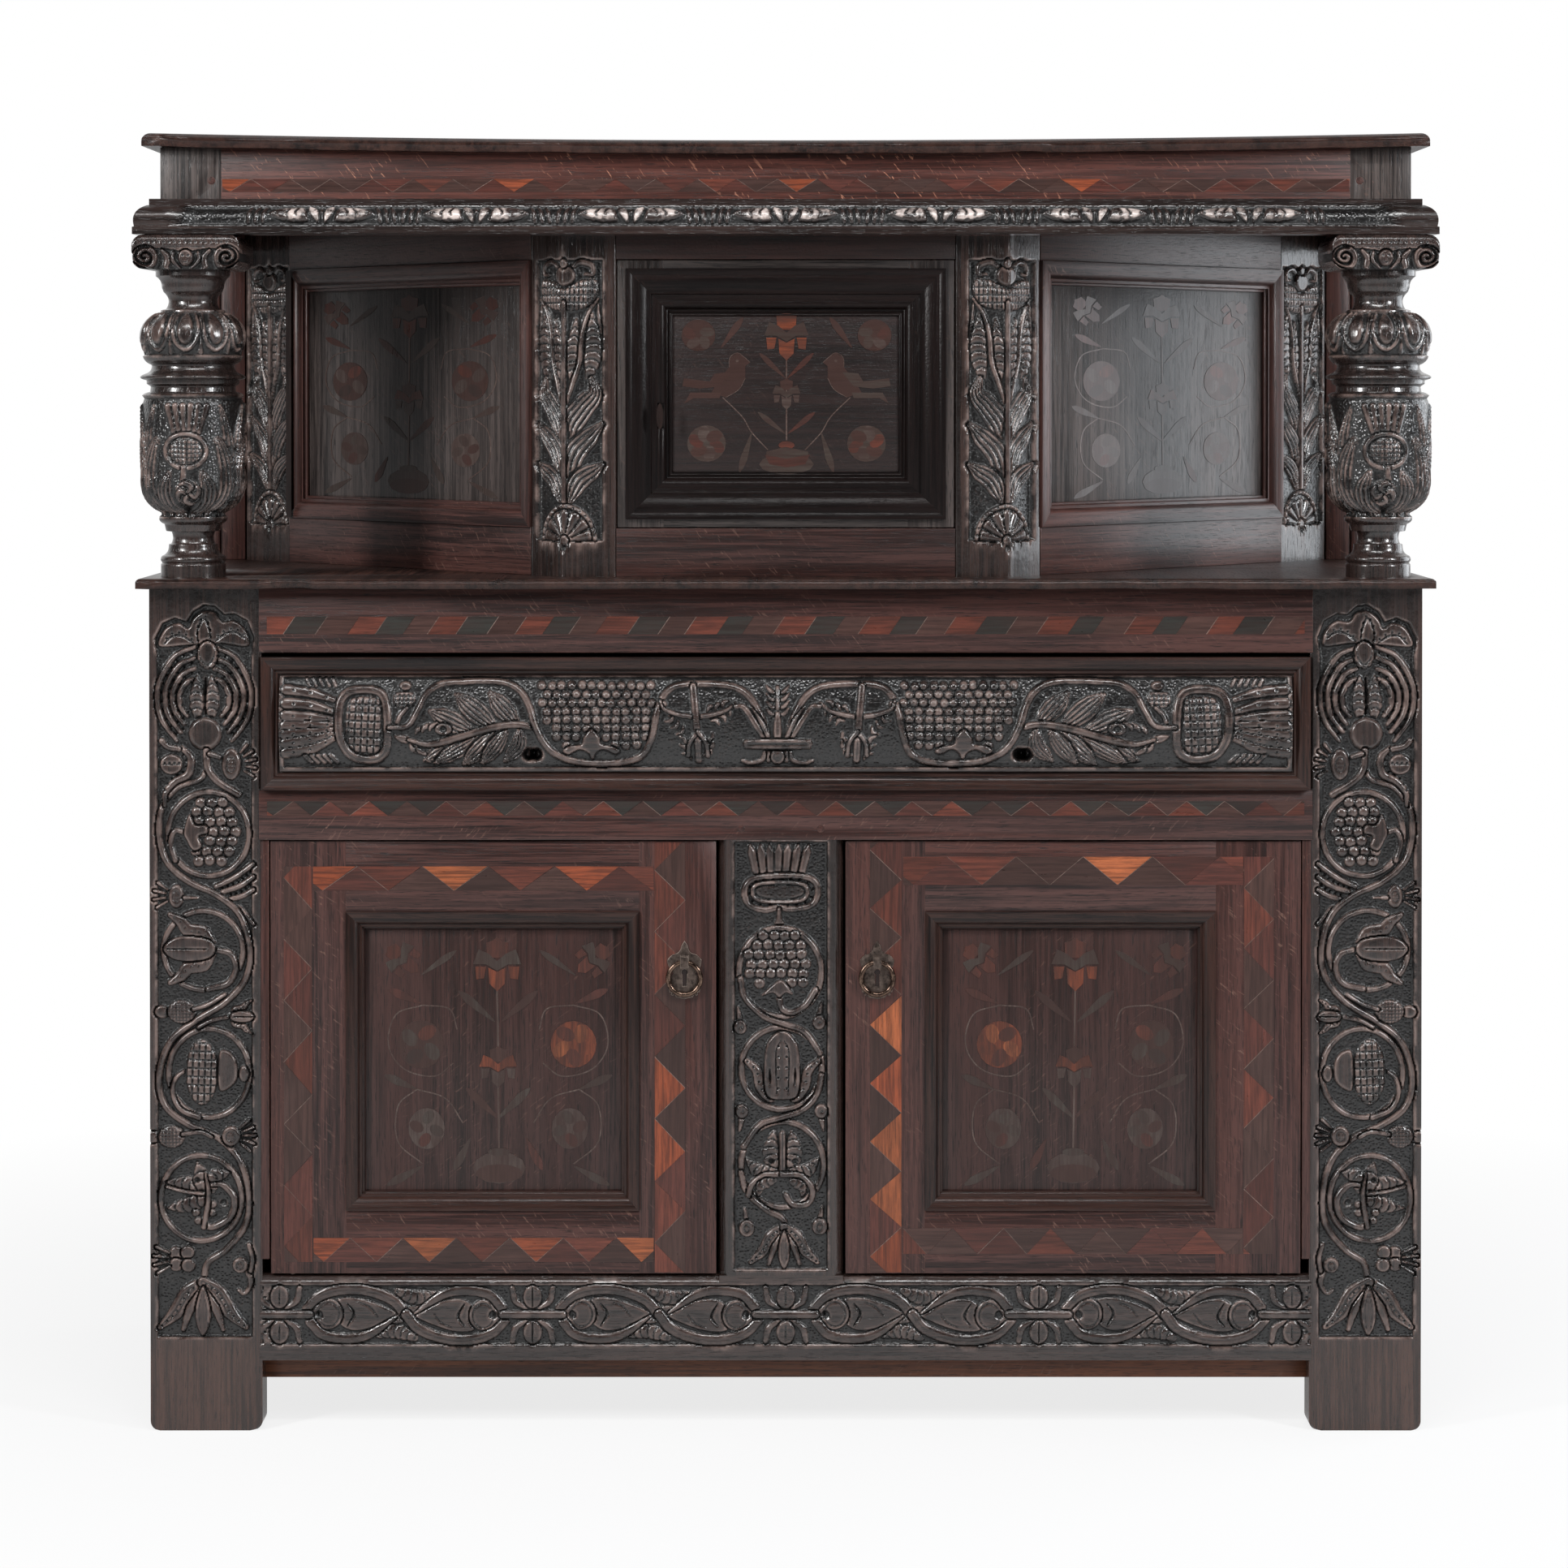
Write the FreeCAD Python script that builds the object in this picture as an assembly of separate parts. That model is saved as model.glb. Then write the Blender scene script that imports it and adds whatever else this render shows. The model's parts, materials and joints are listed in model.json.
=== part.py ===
import FreeCAD, Part
import math
import os

os.makedirs("parts", exist_ok=True)

V = FreeCAD.Vector
UP = V(0, 0, 1)

# Court cupboard in oak, millimetres. X runs left to right, Y runs from the front to the back,
# Z runs up. The pieces are placed from the lower front stiles' face at Y = 0 and the floor at
# Z = 0, and save() moves the whole object so that its origin is the middle of its base.

# Lower case
case_half = 788.0
case_depth = 528.0
case_height = 1042.0
stile_width = 138.0
stile_thick = 42.0
foot_round = 12.0
rail_thick = 30.0
top_rail_high = 80.0
drawer_opening_high = 170.0
drawer_rail_high = 61.0
bottom_rail_high = 105.0
foot_high = 87.0
muntin_width = 154.0
muntin_offset = -6.0
muntin_chamfer = 11.0
rail_chamfer = 9.0

# Mortise and tenon joints, panel grooves and pegs
tenon_long = 28.0
tenon_thick = 9.0
tenon_shoulder = 7.0
groove_deep = 7.0
peg_radius = 4.8
side_peg_long = 24.0

# Sides and back of the lower case
side_rail_thick = 26.0
side_inset = 2.0
side_top_high = 90.0
side_middle_high = 70.0
side_middle_drop = 91.0
panel_thick = 9.0
back_rail_thick = 24.0
back_rail_high = 84.0
back_inset = 4.0
back_board_thick = 10.0

# Bottom boards and the bearers under them
bearer_thick = 28.0
bearer_high = 29.0
bottom_board_thick = 12.0

# Strips beside the doors
strip_wide = 12.0
strip_thick = 20.0
strip_set_back = 2.0
strip_short = 20.0

# Lower top boards, the shelf
shelf_side_over = 9.0
shelf_thick = 13.0
shelf_front_over = 30.0
shelf_edge_round = 6.0
front_board_deep = 300.0

# Drawer
drawer_side_gap = 4.0
drawer_top_gap = 5.0
drawer_bottom_gap = 1.5
drawer_front_thick = 22.0
drawer_field_proud = 6.0
drawer_field_rise = 12.0
drawer_moulding_wide = 23.0
drawer_moulding_proud = 11.0
drawer_back_gap = 38.0
drawer_side_thick = 18.0
drawer_side_top = 10.0
drawer_side_bottom = 8.0
drawer_back_thick = 16.0
drawer_bottom_thick = 8.0
drawer_bottom_up = 6.0
drawer_rebate = 9.0
lost_handle_x = 302.0
lost_handle_up = 42.0
lost_handle_radius = 5.0
runner_high = 18.0
runner_up = 76.0
runner_let_in = 12.0
runner_reach = 11.0
runner_clearance = 0.25
runner_end_gap = 1.0

# Lower doors
door_thick = 24.0
door_set_back = 3.5
door_height_gap = 2.0
door_hinge_gap = 1.7
door_lock_gap = 3.0
door_top_rail = 87.0
door_bottom_rail = 78.0
left_hinge_stile = 93.0
left_lock_stile = 95.0
right_hinge_stile = 105.0
right_lock_stile = 98.0
door_panel_set_back = 12.0
door_moulding_wide = 22.0
door_moulding_proud = 2.5

# Pin hinges: an iron pin at the top and bottom of each door turns in its rail
pin_radius = 4.0
pin_clearance = 0.08
pin_in_from_edge = 26.0
pin_behind_face = 9.0
pin_in_door = 24.0
pin_in_rail = 11.0
socket_spare = 1.0

# Ring pulls on their shield plates
pull_from_edge = 39.0
pull_up = 386.0
plate_half = 21.0
plate_above = 26.0
plate_below = 46.0
plate_thick = 1.5
ring_radius = 20.0
ring_wire_radius = 3.0
ring_off_plate = 1.0
eye_wide = 10.0
eye_clearance = 0.8
eye_wall = 2.4
eye_above = 8.0
rivet_radius = 1.8
rivet_high = 1.2
key_radius = 4.0
key_slot_wide = 5.7
key_slot_long = 17.0
key_below_ring_eye = 13.0

# Lock cases and bolts behind the doors
lock_long = 62.0
lock_high = 62.0
lock_spare = 1.5
lock_wall = 2.0
bolt_thick = 5.0
bolt_high = 12.0
bolt_clearance = 0.1
bolt_tail = 44.0
bolt_behind_post = 0.6

# Upper stage: a flat middle and two canted walls
centre_half = 276.0
post_front_wide = 66.5
post_canted_wide = 61.5
rear_stile_wide = 101.0
upper_thick = 30.0
upper_bottom_rail = 60.0
upper_opening_high = 333.0
rear_post_in = 6.0
rear_post_wide = 44.0
rear_post_thick = 28.0
rear_post_groove = 3.0
rear_post_groove_in = 11.0
upper_back_thick = 12.0
canted_moulding_wide = 30.0
canted_moulding_proud = 3.0

# Upper door
upper_door_set_back = 2.0
upper_door_gap = 1.5
upper_frame_wide = 57.0
upper_moulding_in = 10.0
upper_moulding_wide = 58.0
upper_moulding_proud = 7.0
upper_panel_set_back = 4.0
upper_pin_in = 24.0
upper_pin_behind = 8.0
upper_key_in = 54.0
upper_key_up = 138.0
upper_key_wide = 9.0
upper_key_high = 32.0

# Columns and capitals
column_in = 36.0
column_y = 25.0
column_high = 379.0
column_radius = 66.7
spigot_radius = 14.0
spigot_long = 9.0
spigot_clearance = 0.1
capital_wide = 132.0
capital_deep = 120.0
capital_high = 43.0
abacus_high = 19.0
volute_radius = 13.0
capital_core_half = 44.0

# Frieze, its carved moulding and the top boards
frieze_high = 108.0
frieze_side_in = 18.0
frieze_thick = 16.0
frieze_side_thick = 26.0
frieze_tongue = 18.0
corner_block_wide = 75.0
corner_block_deep = 50.0
frieze_moulding_high = 44.0
frieze_moulding_out = 30.0
top_thick = 17.0
top_over = 20.0
top_edge_round = 11.0
frieze_peg_in = 12.0
frieze_peg_up = 67.0

# Boards side by side, and the overrun of every cut
board_gap = 0.2
overrun = 1.0

# Counts of boards
back_board_count = 6
bottom_board_count = 6
upper_back_board_count = 7

# Heights and depths that follow from the sizes above
stile_inner = case_half - stile_width
top_rail_z = case_height - top_rail_high
drawer_opening_z = top_rail_z - drawer_opening_high
drawer_rail_z = drawer_opening_z - drawer_rail_high
bottom_rail_z = foot_high
door_opening_z = bottom_rail_z + bottom_rail_high
door_opening_high = drawer_rail_z - door_opening_z
side_middle_z = drawer_rail_z - side_middle_drop
rear_stile_y = case_depth - stile_thick
back_rail_y = case_depth - back_inset - back_rail_thick
drawer_depth = back_rail_y - drawer_back_gap - drawer_front_thick
side_out = case_half - side_inset
side_in = side_out - side_rail_thick
shelf_half = case_half + shelf_side_over
shelf_z = case_height + shelf_thick
capital_z = shelf_z + column_high
frieze_z = capital_z + capital_high
top_underside = frieze_z + frieze_high
frieze_half = case_half - frieze_side_in
column_x = frieze_half - column_in
upper_opening_z = shelf_z + upper_bottom_rail
upper_opening_top = upper_opening_z + upper_opening_high
upper_front_y = frieze_thick
upper_back_y = case_depth - upper_back_thick
rear_post_y = case_depth - rear_post_thick
rear_post_outer = case_half - rear_post_in
rear_post_inner = rear_post_outer - rear_post_wide
canted_long = math.hypot(rear_post_inner - centre_half, rear_post_y - upper_front_y)
canted_angle = math.degrees(math.atan2(rear_post_y - upper_front_y, rear_post_inner - centre_half))
front_most = min(column_y - column_radius, column_y - capital_deep / 2, -shelf_front_over)
base_middle_y = (front_most + case_depth) / 2


# General helpers

def span(low, high):
    size = [h - l for l, h in zip(low, high)]
    return Part.makeBox(*size, V(*low))


def bar(low, high, along, thin):
    # A rail with a tenon on each end: along and thin are the axis numbers of its length and thickness
    wide = 3 - along - thin
    tenon_low = list(low)
    tenon_high = list(high)
    tenon_low[along] -= tenon_long
    tenon_high[along] += tenon_long
    middle = (low[thin] + high[thin]) / 2
    tenon_low[thin] = middle - tenon_thick / 2
    tenon_high[thin] = middle + tenon_thick / 2
    tenon_low[wide] += tenon_shoulder
    tenon_high[wide] -= tenon_shoulder
    return span(low, high).fuse(span(tenon_low, tenon_high))


def wire_from(points):
    # Closed outline: each point is (a, b) or (a, b, bulge), where bulge bends the edge that
    # arrives at the point to its left by that share of its length
    edges = []
    last = points[-1]
    for point in points:
        start = V(last[0], last[1], 0)
        end = V(point[0], point[1], 0)
        if len(point) > 2:
            chord = end - start
            side = V(-chord.y, chord.x, 0) * point[2]
            edges.append(Part.Arc(start, (start + end) * 0.5 + side, end).toShape())
        else:
            edges.append(Part.LineSegment(start, end).toShape())
        last = point
    return Part.Wire(edges)


def plan(points, low, high):
    # Outline in X and Y, standing from low to high
    face = Part.Face(wire_from(points))
    face.translate(V(0, 0, low))
    return face.extrude(V(0, 0, high - low))


def facing(points, front, back):
    # Outline in X and Z, from the front to the back in Y
    face = Part.Face(wire_from(points))
    face.rotate(V(), V(1, 0, 0), 90)
    face.translate(V(0, front, 0))
    return face.extrude(V(0, back - front, 0))


def mirrored(shape):
    return shape.mirror(V(), V(1, 0, 0))


def both(shape):
    return [shape, mirrored(shape)]


def moved(shape, x, y, z):
    copy = shape.copy()
    copy.translate(V(x, y, z))
    return copy


def member(profile, length, mitre_start=True, mitre_end=True):
    # One length of moulding along X. The profile is (across, height), across from its outer edge
    # at 0 inwards, and a mitred end leans in by the moulding's width
    face = Part.Face(wire_from(profile))
    face.rotate(V(), V(1, 0, 0), 90)
    face.rotate(V(), UP, 90)
    solid = face.extrude(V(length, 0, 0))
    box = solid.BoundBox
    wide = box.YMax
    start_in = wide if mitre_start else 0
    end_in = wide if mitre_end else 0
    trim = plan(
        [(0, 0), (length, 0), (length - end_in, wide), (start_in, wide)],
        box.ZMin - overrun,
        box.ZMax + overrun,
    )
    return solid.common(trim)


def moulding_frame(wide, high, profile):
    # Four mitred lengths round a rectangle in X and Z with its lower left corner at the origin,
    # heights of the profile towards -Y
    sides = []
    corners = ((0, 0, wide), (wide, 0, high), (wide, high, wide), (0, high, high))
    for turn, (x, z, length) in enumerate(corners):
        piece = member(profile, length)
        piece.rotate(V(), V(1, 0, 0), 90)
        piece.rotate(V(), V(0, 1, 0), -90 * turn)
        piece.translate(V(x, 0, z))
        sides.append(piece)
    return sides


def split_boards(low, high, count, along=0):
    # Boards side by side along one axis, with a hair of room between them
    pitch = (high[along] - low[along]) / count
    boards = []
    for index in range(count):
        board_low = list(low)
        board_high = list(high)
        board_low[along] = low[along] + pitch * index + (board_gap / 2 if index else 0)
        board_high[along] = low[along] + pitch * (index + 1) - (board_gap / 2 if index < count - 1 else 0)
        boards.append(span(board_low, board_high))
    return boards


def cylinder(radius, length, at, along):
    return Part.makeCylinder(radius, length, at, along)


def save(name, solids):
    placed = []
    for solid in solids:
        copy = solid.removeSplitter()
        copy.translate(V(0, -base_middle_y, 0))
        placed.extend(copy.Solids)
    Part.makeCompound(placed).exportStep("parts/" + name + ".step")


# Lower case

def door_pin_places():
    # The four pin axes of the lower doors: left and right, in rail below and rail above
    x = stile_inner - strip_wide - door_hinge_gap - pin_in_from_edge
    y = door_set_back + pin_behind_face
    return [(sign * x, y) for sign in (-1, 1)]


def pin_sockets(places, low, high):
    # Bores in the rails above and below an opening for the hinge pins
    radius = pin_radius + pin_clearance
    deep = pin_in_rail + socket_spare
    sockets = []
    for x, y in places:
        sockets.append(cylinder(radius, deep, V(x, y, low - deep), UP))
        sockets.append(cylinder(radius, deep, V(x, y, high), UP))
    return sockets


def case_rails():
    top = bar((-stile_inner, 0, top_rail_z), (stile_inner, rail_thick, case_height), 0, 1)
    drawer = bar((-stile_inner, 0, drawer_rail_z), (stile_inner, rail_thick, drawer_opening_z), 0, 1)
    bottom = bar((-stile_inner, 0, bottom_rail_z), (stile_inner, rail_thick, door_opening_z), 0, 1)
    return top, drawer, bottom


def muntin():
    left = muntin_offset - muntin_width / 2
    right = muntin_offset + muntin_width / 2
    post = bar((left, 0, door_opening_z), (right, rail_thick, drawer_rail_z), 2, 1)
    for x, side in ((left, 1), (right, -1)):
        arris = plan(
            [(x, 0), (x + side * muntin_chamfer, 0), (x, muntin_chamfer)],
            door_opening_z,
            drawer_rail_z,
        )
        post = post.cut(arris)
    return post


def bottom_rail_bevel():
    # The bevel along the bottom rail's upper edge, between the stiles and the muntin
    bevels = []
    left = muntin_offset - muntin_width / 2
    right = muntin_offset + muntin_width / 2
    for low, high in ((-stile_inner, left), (right, stile_inner)):
        face = Part.Face(wire_from([(0, 0), (rail_chamfer, 0), (0, -rail_chamfer)]))
        face.rotate(V(), V(1, 0, 0), 90)
        face.rotate(V(), UP, 90)
        face.translate(V(low, 0, door_opening_z))
        bevels.append(face.extrude(V(high - low, 0, 0)))
    return bevels


def muntin_pegs():
    # Two pegs hold the muntin's upper tenon in the drawer rail
    z = drawer_rail_z + tenon_long / 2
    reach = muntin_width / 2 - tenon_long
    return [
        cylinder(peg_radius, rail_thick, V(muntin_offset + side * reach, 0, z), V(0, 1, 0))
        for side in (-1, 1)
    ]


def side_rail_spans():
    return (
        (bottom_rail_z, door_opening_z),
        (side_middle_z, side_middle_z + side_middle_high),
        (case_height - side_top_high, case_height),
    )


def side_rails():
    return [
        bar((side_in, stile_thick, low), (side_out, rear_stile_y, high), 1, 0)
        for low, high in side_rail_spans()
    ]


def side_panels():
    spans = side_rail_spans()
    middle = (side_in + side_out) / 2
    panels = []
    for lower, upper in zip(spans, spans[1:]):
        low = (middle - panel_thick / 2, stile_thick - groove_deep, lower[1] - groove_deep)
        high = (middle + panel_thick / 2, rear_stile_y + groove_deep, upper[0] + groove_deep)
        panels.append(span(low, high))
    return panels


def side_pegs():
    # Pegs through the side rails' tenons, driven in from the outer face of each stile
    pegs = []
    for low, high in side_rail_spans():
        for y in (stile_thick - tenon_long / 2, rear_stile_y + tenon_long / 2):
            for z in (low + (high - low) / 4, high - (high - low) / 4):
                at = V(case_half - side_peg_long, y, z)
                pegs.append(cylinder(peg_radius, side_peg_long, at, V(1, 0, 0)))
    return pegs


def back_rails():
    low = (-stile_inner, back_rail_y)
    high = (stile_inner, back_rail_y + back_rail_thick)
    lower = bar((*low, bottom_rail_z), (*high, bottom_rail_z + back_rail_high), 0, 1)
    upper = bar((*low, case_height - back_rail_high), (*high, case_height), 0, 1)
    return [lower, upper]


def back_boards():
    front = back_rail_y + (back_rail_thick - back_board_thick) / 2
    half = stile_inner + groove_deep
    low_z = bottom_rail_z + back_rail_high - groove_deep
    high_z = case_height - back_rail_high + groove_deep
    return split_boards((-half, front, low_z), (half, front + back_board_thick, high_z), back_board_count)


def bottom_bearers():
    bearers = []
    for y in (rail_thick, back_rail_y - bearer_thick):
        low = (-side_in, y, bottom_rail_z - bearer_high)
        high = (side_in, y + bearer_thick, bottom_rail_z)
        bearers.append(span(low, high))
    return bearers


def bottom_boards():
    low = (-side_in, rail_thick, bottom_rail_z)
    high = (side_in, back_rail_y, bottom_rail_z + bottom_board_thick)
    return split_boards(low, high, bottom_board_count)


def drawer_runners():
    # Each runner is let into the inner edges of a front and a rear stile
    low_z = drawer_opening_z + runner_up
    low = (stile_inner - runner_reach, stile_thick / 2, low_z)
    high = (stile_inner + runner_let_in, rear_stile_y + stile_thick / 2, low_z + runner_high)
    return both(span(low, high))


def door_strips():
    low = (stile_inner - strip_wide, strip_set_back, door_opening_z + strip_short)
    high = (stile_inner, strip_set_back + strip_thick, drawer_rail_z)
    return both(span(low, high))


def round_foot(stile, x_low, x_high, y_low, y_high):
    # The foot's two lower corners are worn round
    for x, side in ((x_low, 1), (x_high, -1)):
        centre = V(x + side * foot_round, y_low - overrun, foot_round)
        square = span(
            (min(x, x + side * foot_round), y_low - overrun, 0),
            (max(x, x + side * foot_round), y_high + overrun, foot_round),
        )
        disc = cylinder(foot_round, y_high - y_low + overrun + overrun, centre, V(0, 1, 0))
        stile = stile.cut(square.cut(disc))
    return stile


def build_lower_case():
    top, drawer, bottom = case_rails()
    post = muntin()
    rails = side_rails()
    panels = side_panels()
    backs = back_rails()
    boards = back_boards()
    runners = drawer_runners()
    pegs_front = muntin_pegs()
    pegs_side = side_pegs()
    pegs_side_all = [peg for side in pegs_side for peg in both(side)]

    into_stiles = [top, drawer, bottom]
    right_cuts = into_stiles + rails + panels + runners + pegs_side
    front = span((stile_inner, 0, 0), (case_half, stile_thick, case_height))
    front = round_foot(front, stile_inner, case_half, 0, stile_thick)
    front = front.cut(right_cuts)
    rear = span((stile_inner, rear_stile_y, 0), (case_half, case_depth, case_height))
    rear = round_foot(rear, stile_inner, case_half, rear_stile_y, case_depth)
    rear = rear.cut(right_cuts + backs + boards)
    save("front_stile_right", [front])
    save("front_stile_left", [mirrored(front)])
    save("rear_stiles", both(rear))

    save("top_rail", [top])
    sockets = pin_sockets(door_pin_places(), door_opening_z, drawer_rail_z)
    save("drawer_rail", [drawer.cut([post] + pegs_front + sockets)])
    save("bottom_rail", [bottom.cut([post] + bottom_rail_bevel() + sockets)])
    save("centre_muntin", [post.cut(pegs_front)])
    save("door_strips", door_strips())

    rails_cut = [rail.cut(panels + pegs_side) for rail in rails]
    save("side_rails", [piece for rail in rails_cut for piece in both(rail)])
    save("side_panels", [piece for panel in panels for piece in both(panel)])
    save("back_rails", [rail.cut(boards) for rail in backs])
    save("back_boards", boards)
    both_stiles = both(span((stile_inner, 0, 0), (case_half, stile_thick, case_height)))
    both_stiles += both(span((stile_inner, rear_stile_y, 0), (case_half, case_depth, case_height)))
    save("bottom_bearers", [bearer.cut(both_stiles) for bearer in bottom_bearers()])
    save("bottom_boards", [board.cut(both_stiles) for board in bottom_boards()])
    save("drawer_runners", runners)
    return pegs_front + pegs_side_all


def edge_rounded(board, radius, low_x, high_x, low_y, top_z):
    # Rounds the upper front edge and the upper side edges of a board
    chosen = []
    for edge in board.Edges:
        box = edge.BoundBox
        if top_z - box.ZMin > overrun:
            continue
        at_front = low_y is not None and box.YMax - low_y < overrun
        at_side = box.XMax - low_x < overrun or high_x - box.XMin < overrun
        if at_front or at_side:
            chosen.append(edge)
    return board.makeFillet(radius, chosen)


def build_shelf():
    sockets = [
        cylinder(
            spigot_radius + spigot_clearance,
            spigot_long,
            V(side * column_x, column_y, shelf_z - spigot_long),
            UP,
        )
        for side in (-1, 1)
    ]
    split = front_board_deep - shelf_front_over
    radius = min(shelf_edge_round, shelf_thick / 2)
    front = span((-shelf_half, -shelf_front_over, case_height), (shelf_half, split - board_gap, shelf_z))
    front = edge_rounded(front, radius, -shelf_half, shelf_half, -shelf_front_over, shelf_z)
    rear = span((-shelf_half, split, case_height), (shelf_half, case_depth, shelf_z))
    rear = edge_rounded(rear, radius, -shelf_half, shelf_half, None, shelf_z)
    save("lower_top_boards", [front.cut(sockets), rear])


# Drawer

def stepped_profile(wide, base, high):
    # Fillet, hollow and bead across a narrow moulding, from its outer edge to its inner edge
    return [
        (0, base),
        (wide, base),
        (wide, base + (high - base) * 0.25),
        (wide * 0.86, base + (high - base) * 0.55, 0.4),
        (wide * 0.74, base + (high - base) * 0.5),
        (wide * 0.4, base + (high - base) * 0.92, -0.18),
        (wide * 0.26, high),
        (0, high),
    ]


def build_drawer():
    half = stile_inner - drawer_side_gap
    low_z = drawer_opening_z + drawer_bottom_gap
    high_z = top_rail_z - drawer_top_gap
    field_half = half - drawer_moulding_wide
    field_low = low_z + drawer_moulding_wide
    field_high = high_z - drawer_moulding_wide

    front = span((-half, 0, low_z), (half, drawer_front_thick, high_z))
    rise_share = drawer_field_rise / (field_high - field_low)
    cushion_face = Part.Face(wire_from([
        (0, field_low),
        (0, field_high),
        (-drawer_field_proud, field_high),
        (-drawer_field_proud, field_low, -rise_share),
    ]))
    cushion_face.rotate(V(), V(1, 0, 0), 90)
    cushion_face.rotate(V(), UP, 90)
    cushion_face.translate(V(-field_half, 0, 0))
    cushion = cushion_face.extrude(V(field_half + field_half, 0, 0))
    front = front.fuse(cushion)

    side_top = high_z - drawer_side_top
    side_bottom = low_z + drawer_side_bottom
    bottom_z = side_bottom + drawer_bottom_up
    inner = half - drawer_side_thick
    back_y = drawer_front_thick + drawer_depth
    runner_low = drawer_opening_z + runner_up - runner_clearance
    runner_top = runner_low + runner_high + runner_clearance * 2
    groove_in = stile_inner - runner_reach - runner_end_gap
    bottom_low = (-inner - groove_deep, drawer_front_thick - groove_deep, bottom_z)
    bottom_high = (inner + groove_deep, back_y, bottom_z + drawer_bottom_thick)
    bottom = split_boards(bottom_low, bottom_high, 3)
    side = span((inner, drawer_front_thick - drawer_rebate, side_bottom), (half, back_y, side_top))
    front = front.cut(both(side))
    groove_front = stile_thick / 2 - runner_end_gap
    groove = span((groove_in, groove_front, runner_low), (half + overrun, back_y + overrun, runner_top))
    sides = both(side.cut(groove).cut(bottom))
    back = span(
        (-inner, back_y - drawer_back_thick, bottom_z + drawer_bottom_thick),
        (inner, back_y, side_top),
    )
    hole_long = drawer_front_thick + drawer_field_proud + drawer_field_rise + overrun * 2
    hole_end = drawer_front_thick + overrun
    hole_z = low_z + lost_handle_up
    holes = [
        cylinder(lost_handle_radius, hole_long, V(side * lost_handle_x, hole_end, hole_z), V(0, -1, 0))
        for side in (-1, 1)
    ]
    front = front.cut(bottom + holes)
    save("drawer_front", [front])
    mouldings = moulding_frame(
        half + half,
        high_z - low_z,
        stepped_profile(drawer_moulding_wide, 0, drawer_moulding_proud),
    )
    save("drawer_mouldings", [moved(piece, -half, 0, low_z) for piece in mouldings])
    save("drawer_sides", sides)
    save("drawer_back", [back])
    save("drawer_bottom", bottom)


# Doors

def door_frame(wide, high, thick, hinge_stile, lock_stile, bottom_rail, top_rail):
    # Door members in the door's own frame: X from the hinge edge, Y from the front, Z from the bottom
    hinge = span((0, 0, 0), (hinge_stile, thick, high))
    lock = span((wide - lock_stile, 0, 0), (wide, thick, high))
    lower = bar((hinge_stile, 0, 0), (wide - lock_stile, thick, bottom_rail), 0, 1)
    upper = bar((hinge_stile, 0, high - top_rail), (wide - lock_stile, thick, high), 0, 1)
    return [hinge.cut([lower, upper]), lock.cut([lower, upper]), lower, upper]


def door_pins(high, in_from_edge, behind_face, rail_gap):
    length = pin_in_door + rail_gap + pin_in_rail
    low = cylinder(pin_radius, length, V(in_from_edge, behind_face, -rail_gap - pin_in_rail), UP)
    top = cylinder(pin_radius, length, V(in_from_edge, behind_face, high - pin_in_door), UP)
    return [low, top]


def key_cut(x, z, deep):
    # A round head over a slot, cut right through
    head = cylinder(key_radius, deep, V(x, -deep / 2, z), V(0, 1, 0))
    slot = span(
        (x - key_slot_wide / 2, -deep / 2, z - key_slot_long),
        (x + key_slot_wide / 2, deep / 2, z),
    )
    return head.fuse(slot)


def lock_parts(wide, thick, z, post_back):
    # Iron lock case on the door's back with its bolt, drawn back, at the lock edge. The bolt shoots
    # behind the post, whose back is given in the door's own frame
    bolt_front = post_back + bolt_behind_post
    deep = bolt_front + bolt_thick + lock_spare + lock_wall
    low = (wide - lock_long, thick, z - lock_high / 2)
    high = (wide, deep, z + lock_high / 2)
    case = span(low, high)
    hollow_low = [value + lock_wall for value in low]
    hollow_low[1] = thick - overrun
    hollow_high = [value - lock_wall for value in high]
    case = case.cut(span(hollow_low, hollow_high))
    bolt_low = (wide - lock_wall - bolt_tail, bolt_front, z - bolt_high / 2)
    bolt_end = (wide, bolt_front + bolt_thick, z + bolt_high / 2)
    bolt = span(bolt_low, bolt_end)
    slot_low = [value - bolt_clearance for value in bolt_low]
    slot_end = [value + bolt_clearance for value in bolt_end]
    slot_low[0] = wide - lock_wall - overrun
    slot_end[0] = wide + overrun
    case = case.cut(span(slot_low, slot_end))
    return case, bolt


def shield_outline():
    # Pointed top, round shoulders ending in cusps, a narrow waist and a rounded foot
    half = [
        (0.2, 0.74),
        (0.69, 0.35, -0.2),
        (1.0, 0.08, 0.05),
        (0.62, -0.3, 0.12),
        (0.88, -0.82, 0.12),
        (0.5, -0.95, -0.2),
    ]
    points = [(0, plate_above)]
    for entry in half:
        z = entry[1] * (plate_above if entry[1] > 0 else plate_below)
        points.append((entry[0] * plate_half, z) + entry[2:])
    points.append((0, -plate_below))
    last_bulges = [entry[2:] for entry in half] + [()]
    for index in range(len(half) - 1, -1, -1):
        entry = half[index]
        z = entry[1] * (plate_above if entry[1] > 0 else plate_below)
        points.append((-entry[0] * plate_half, z) + last_bulges[index + 1])
    return points


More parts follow.
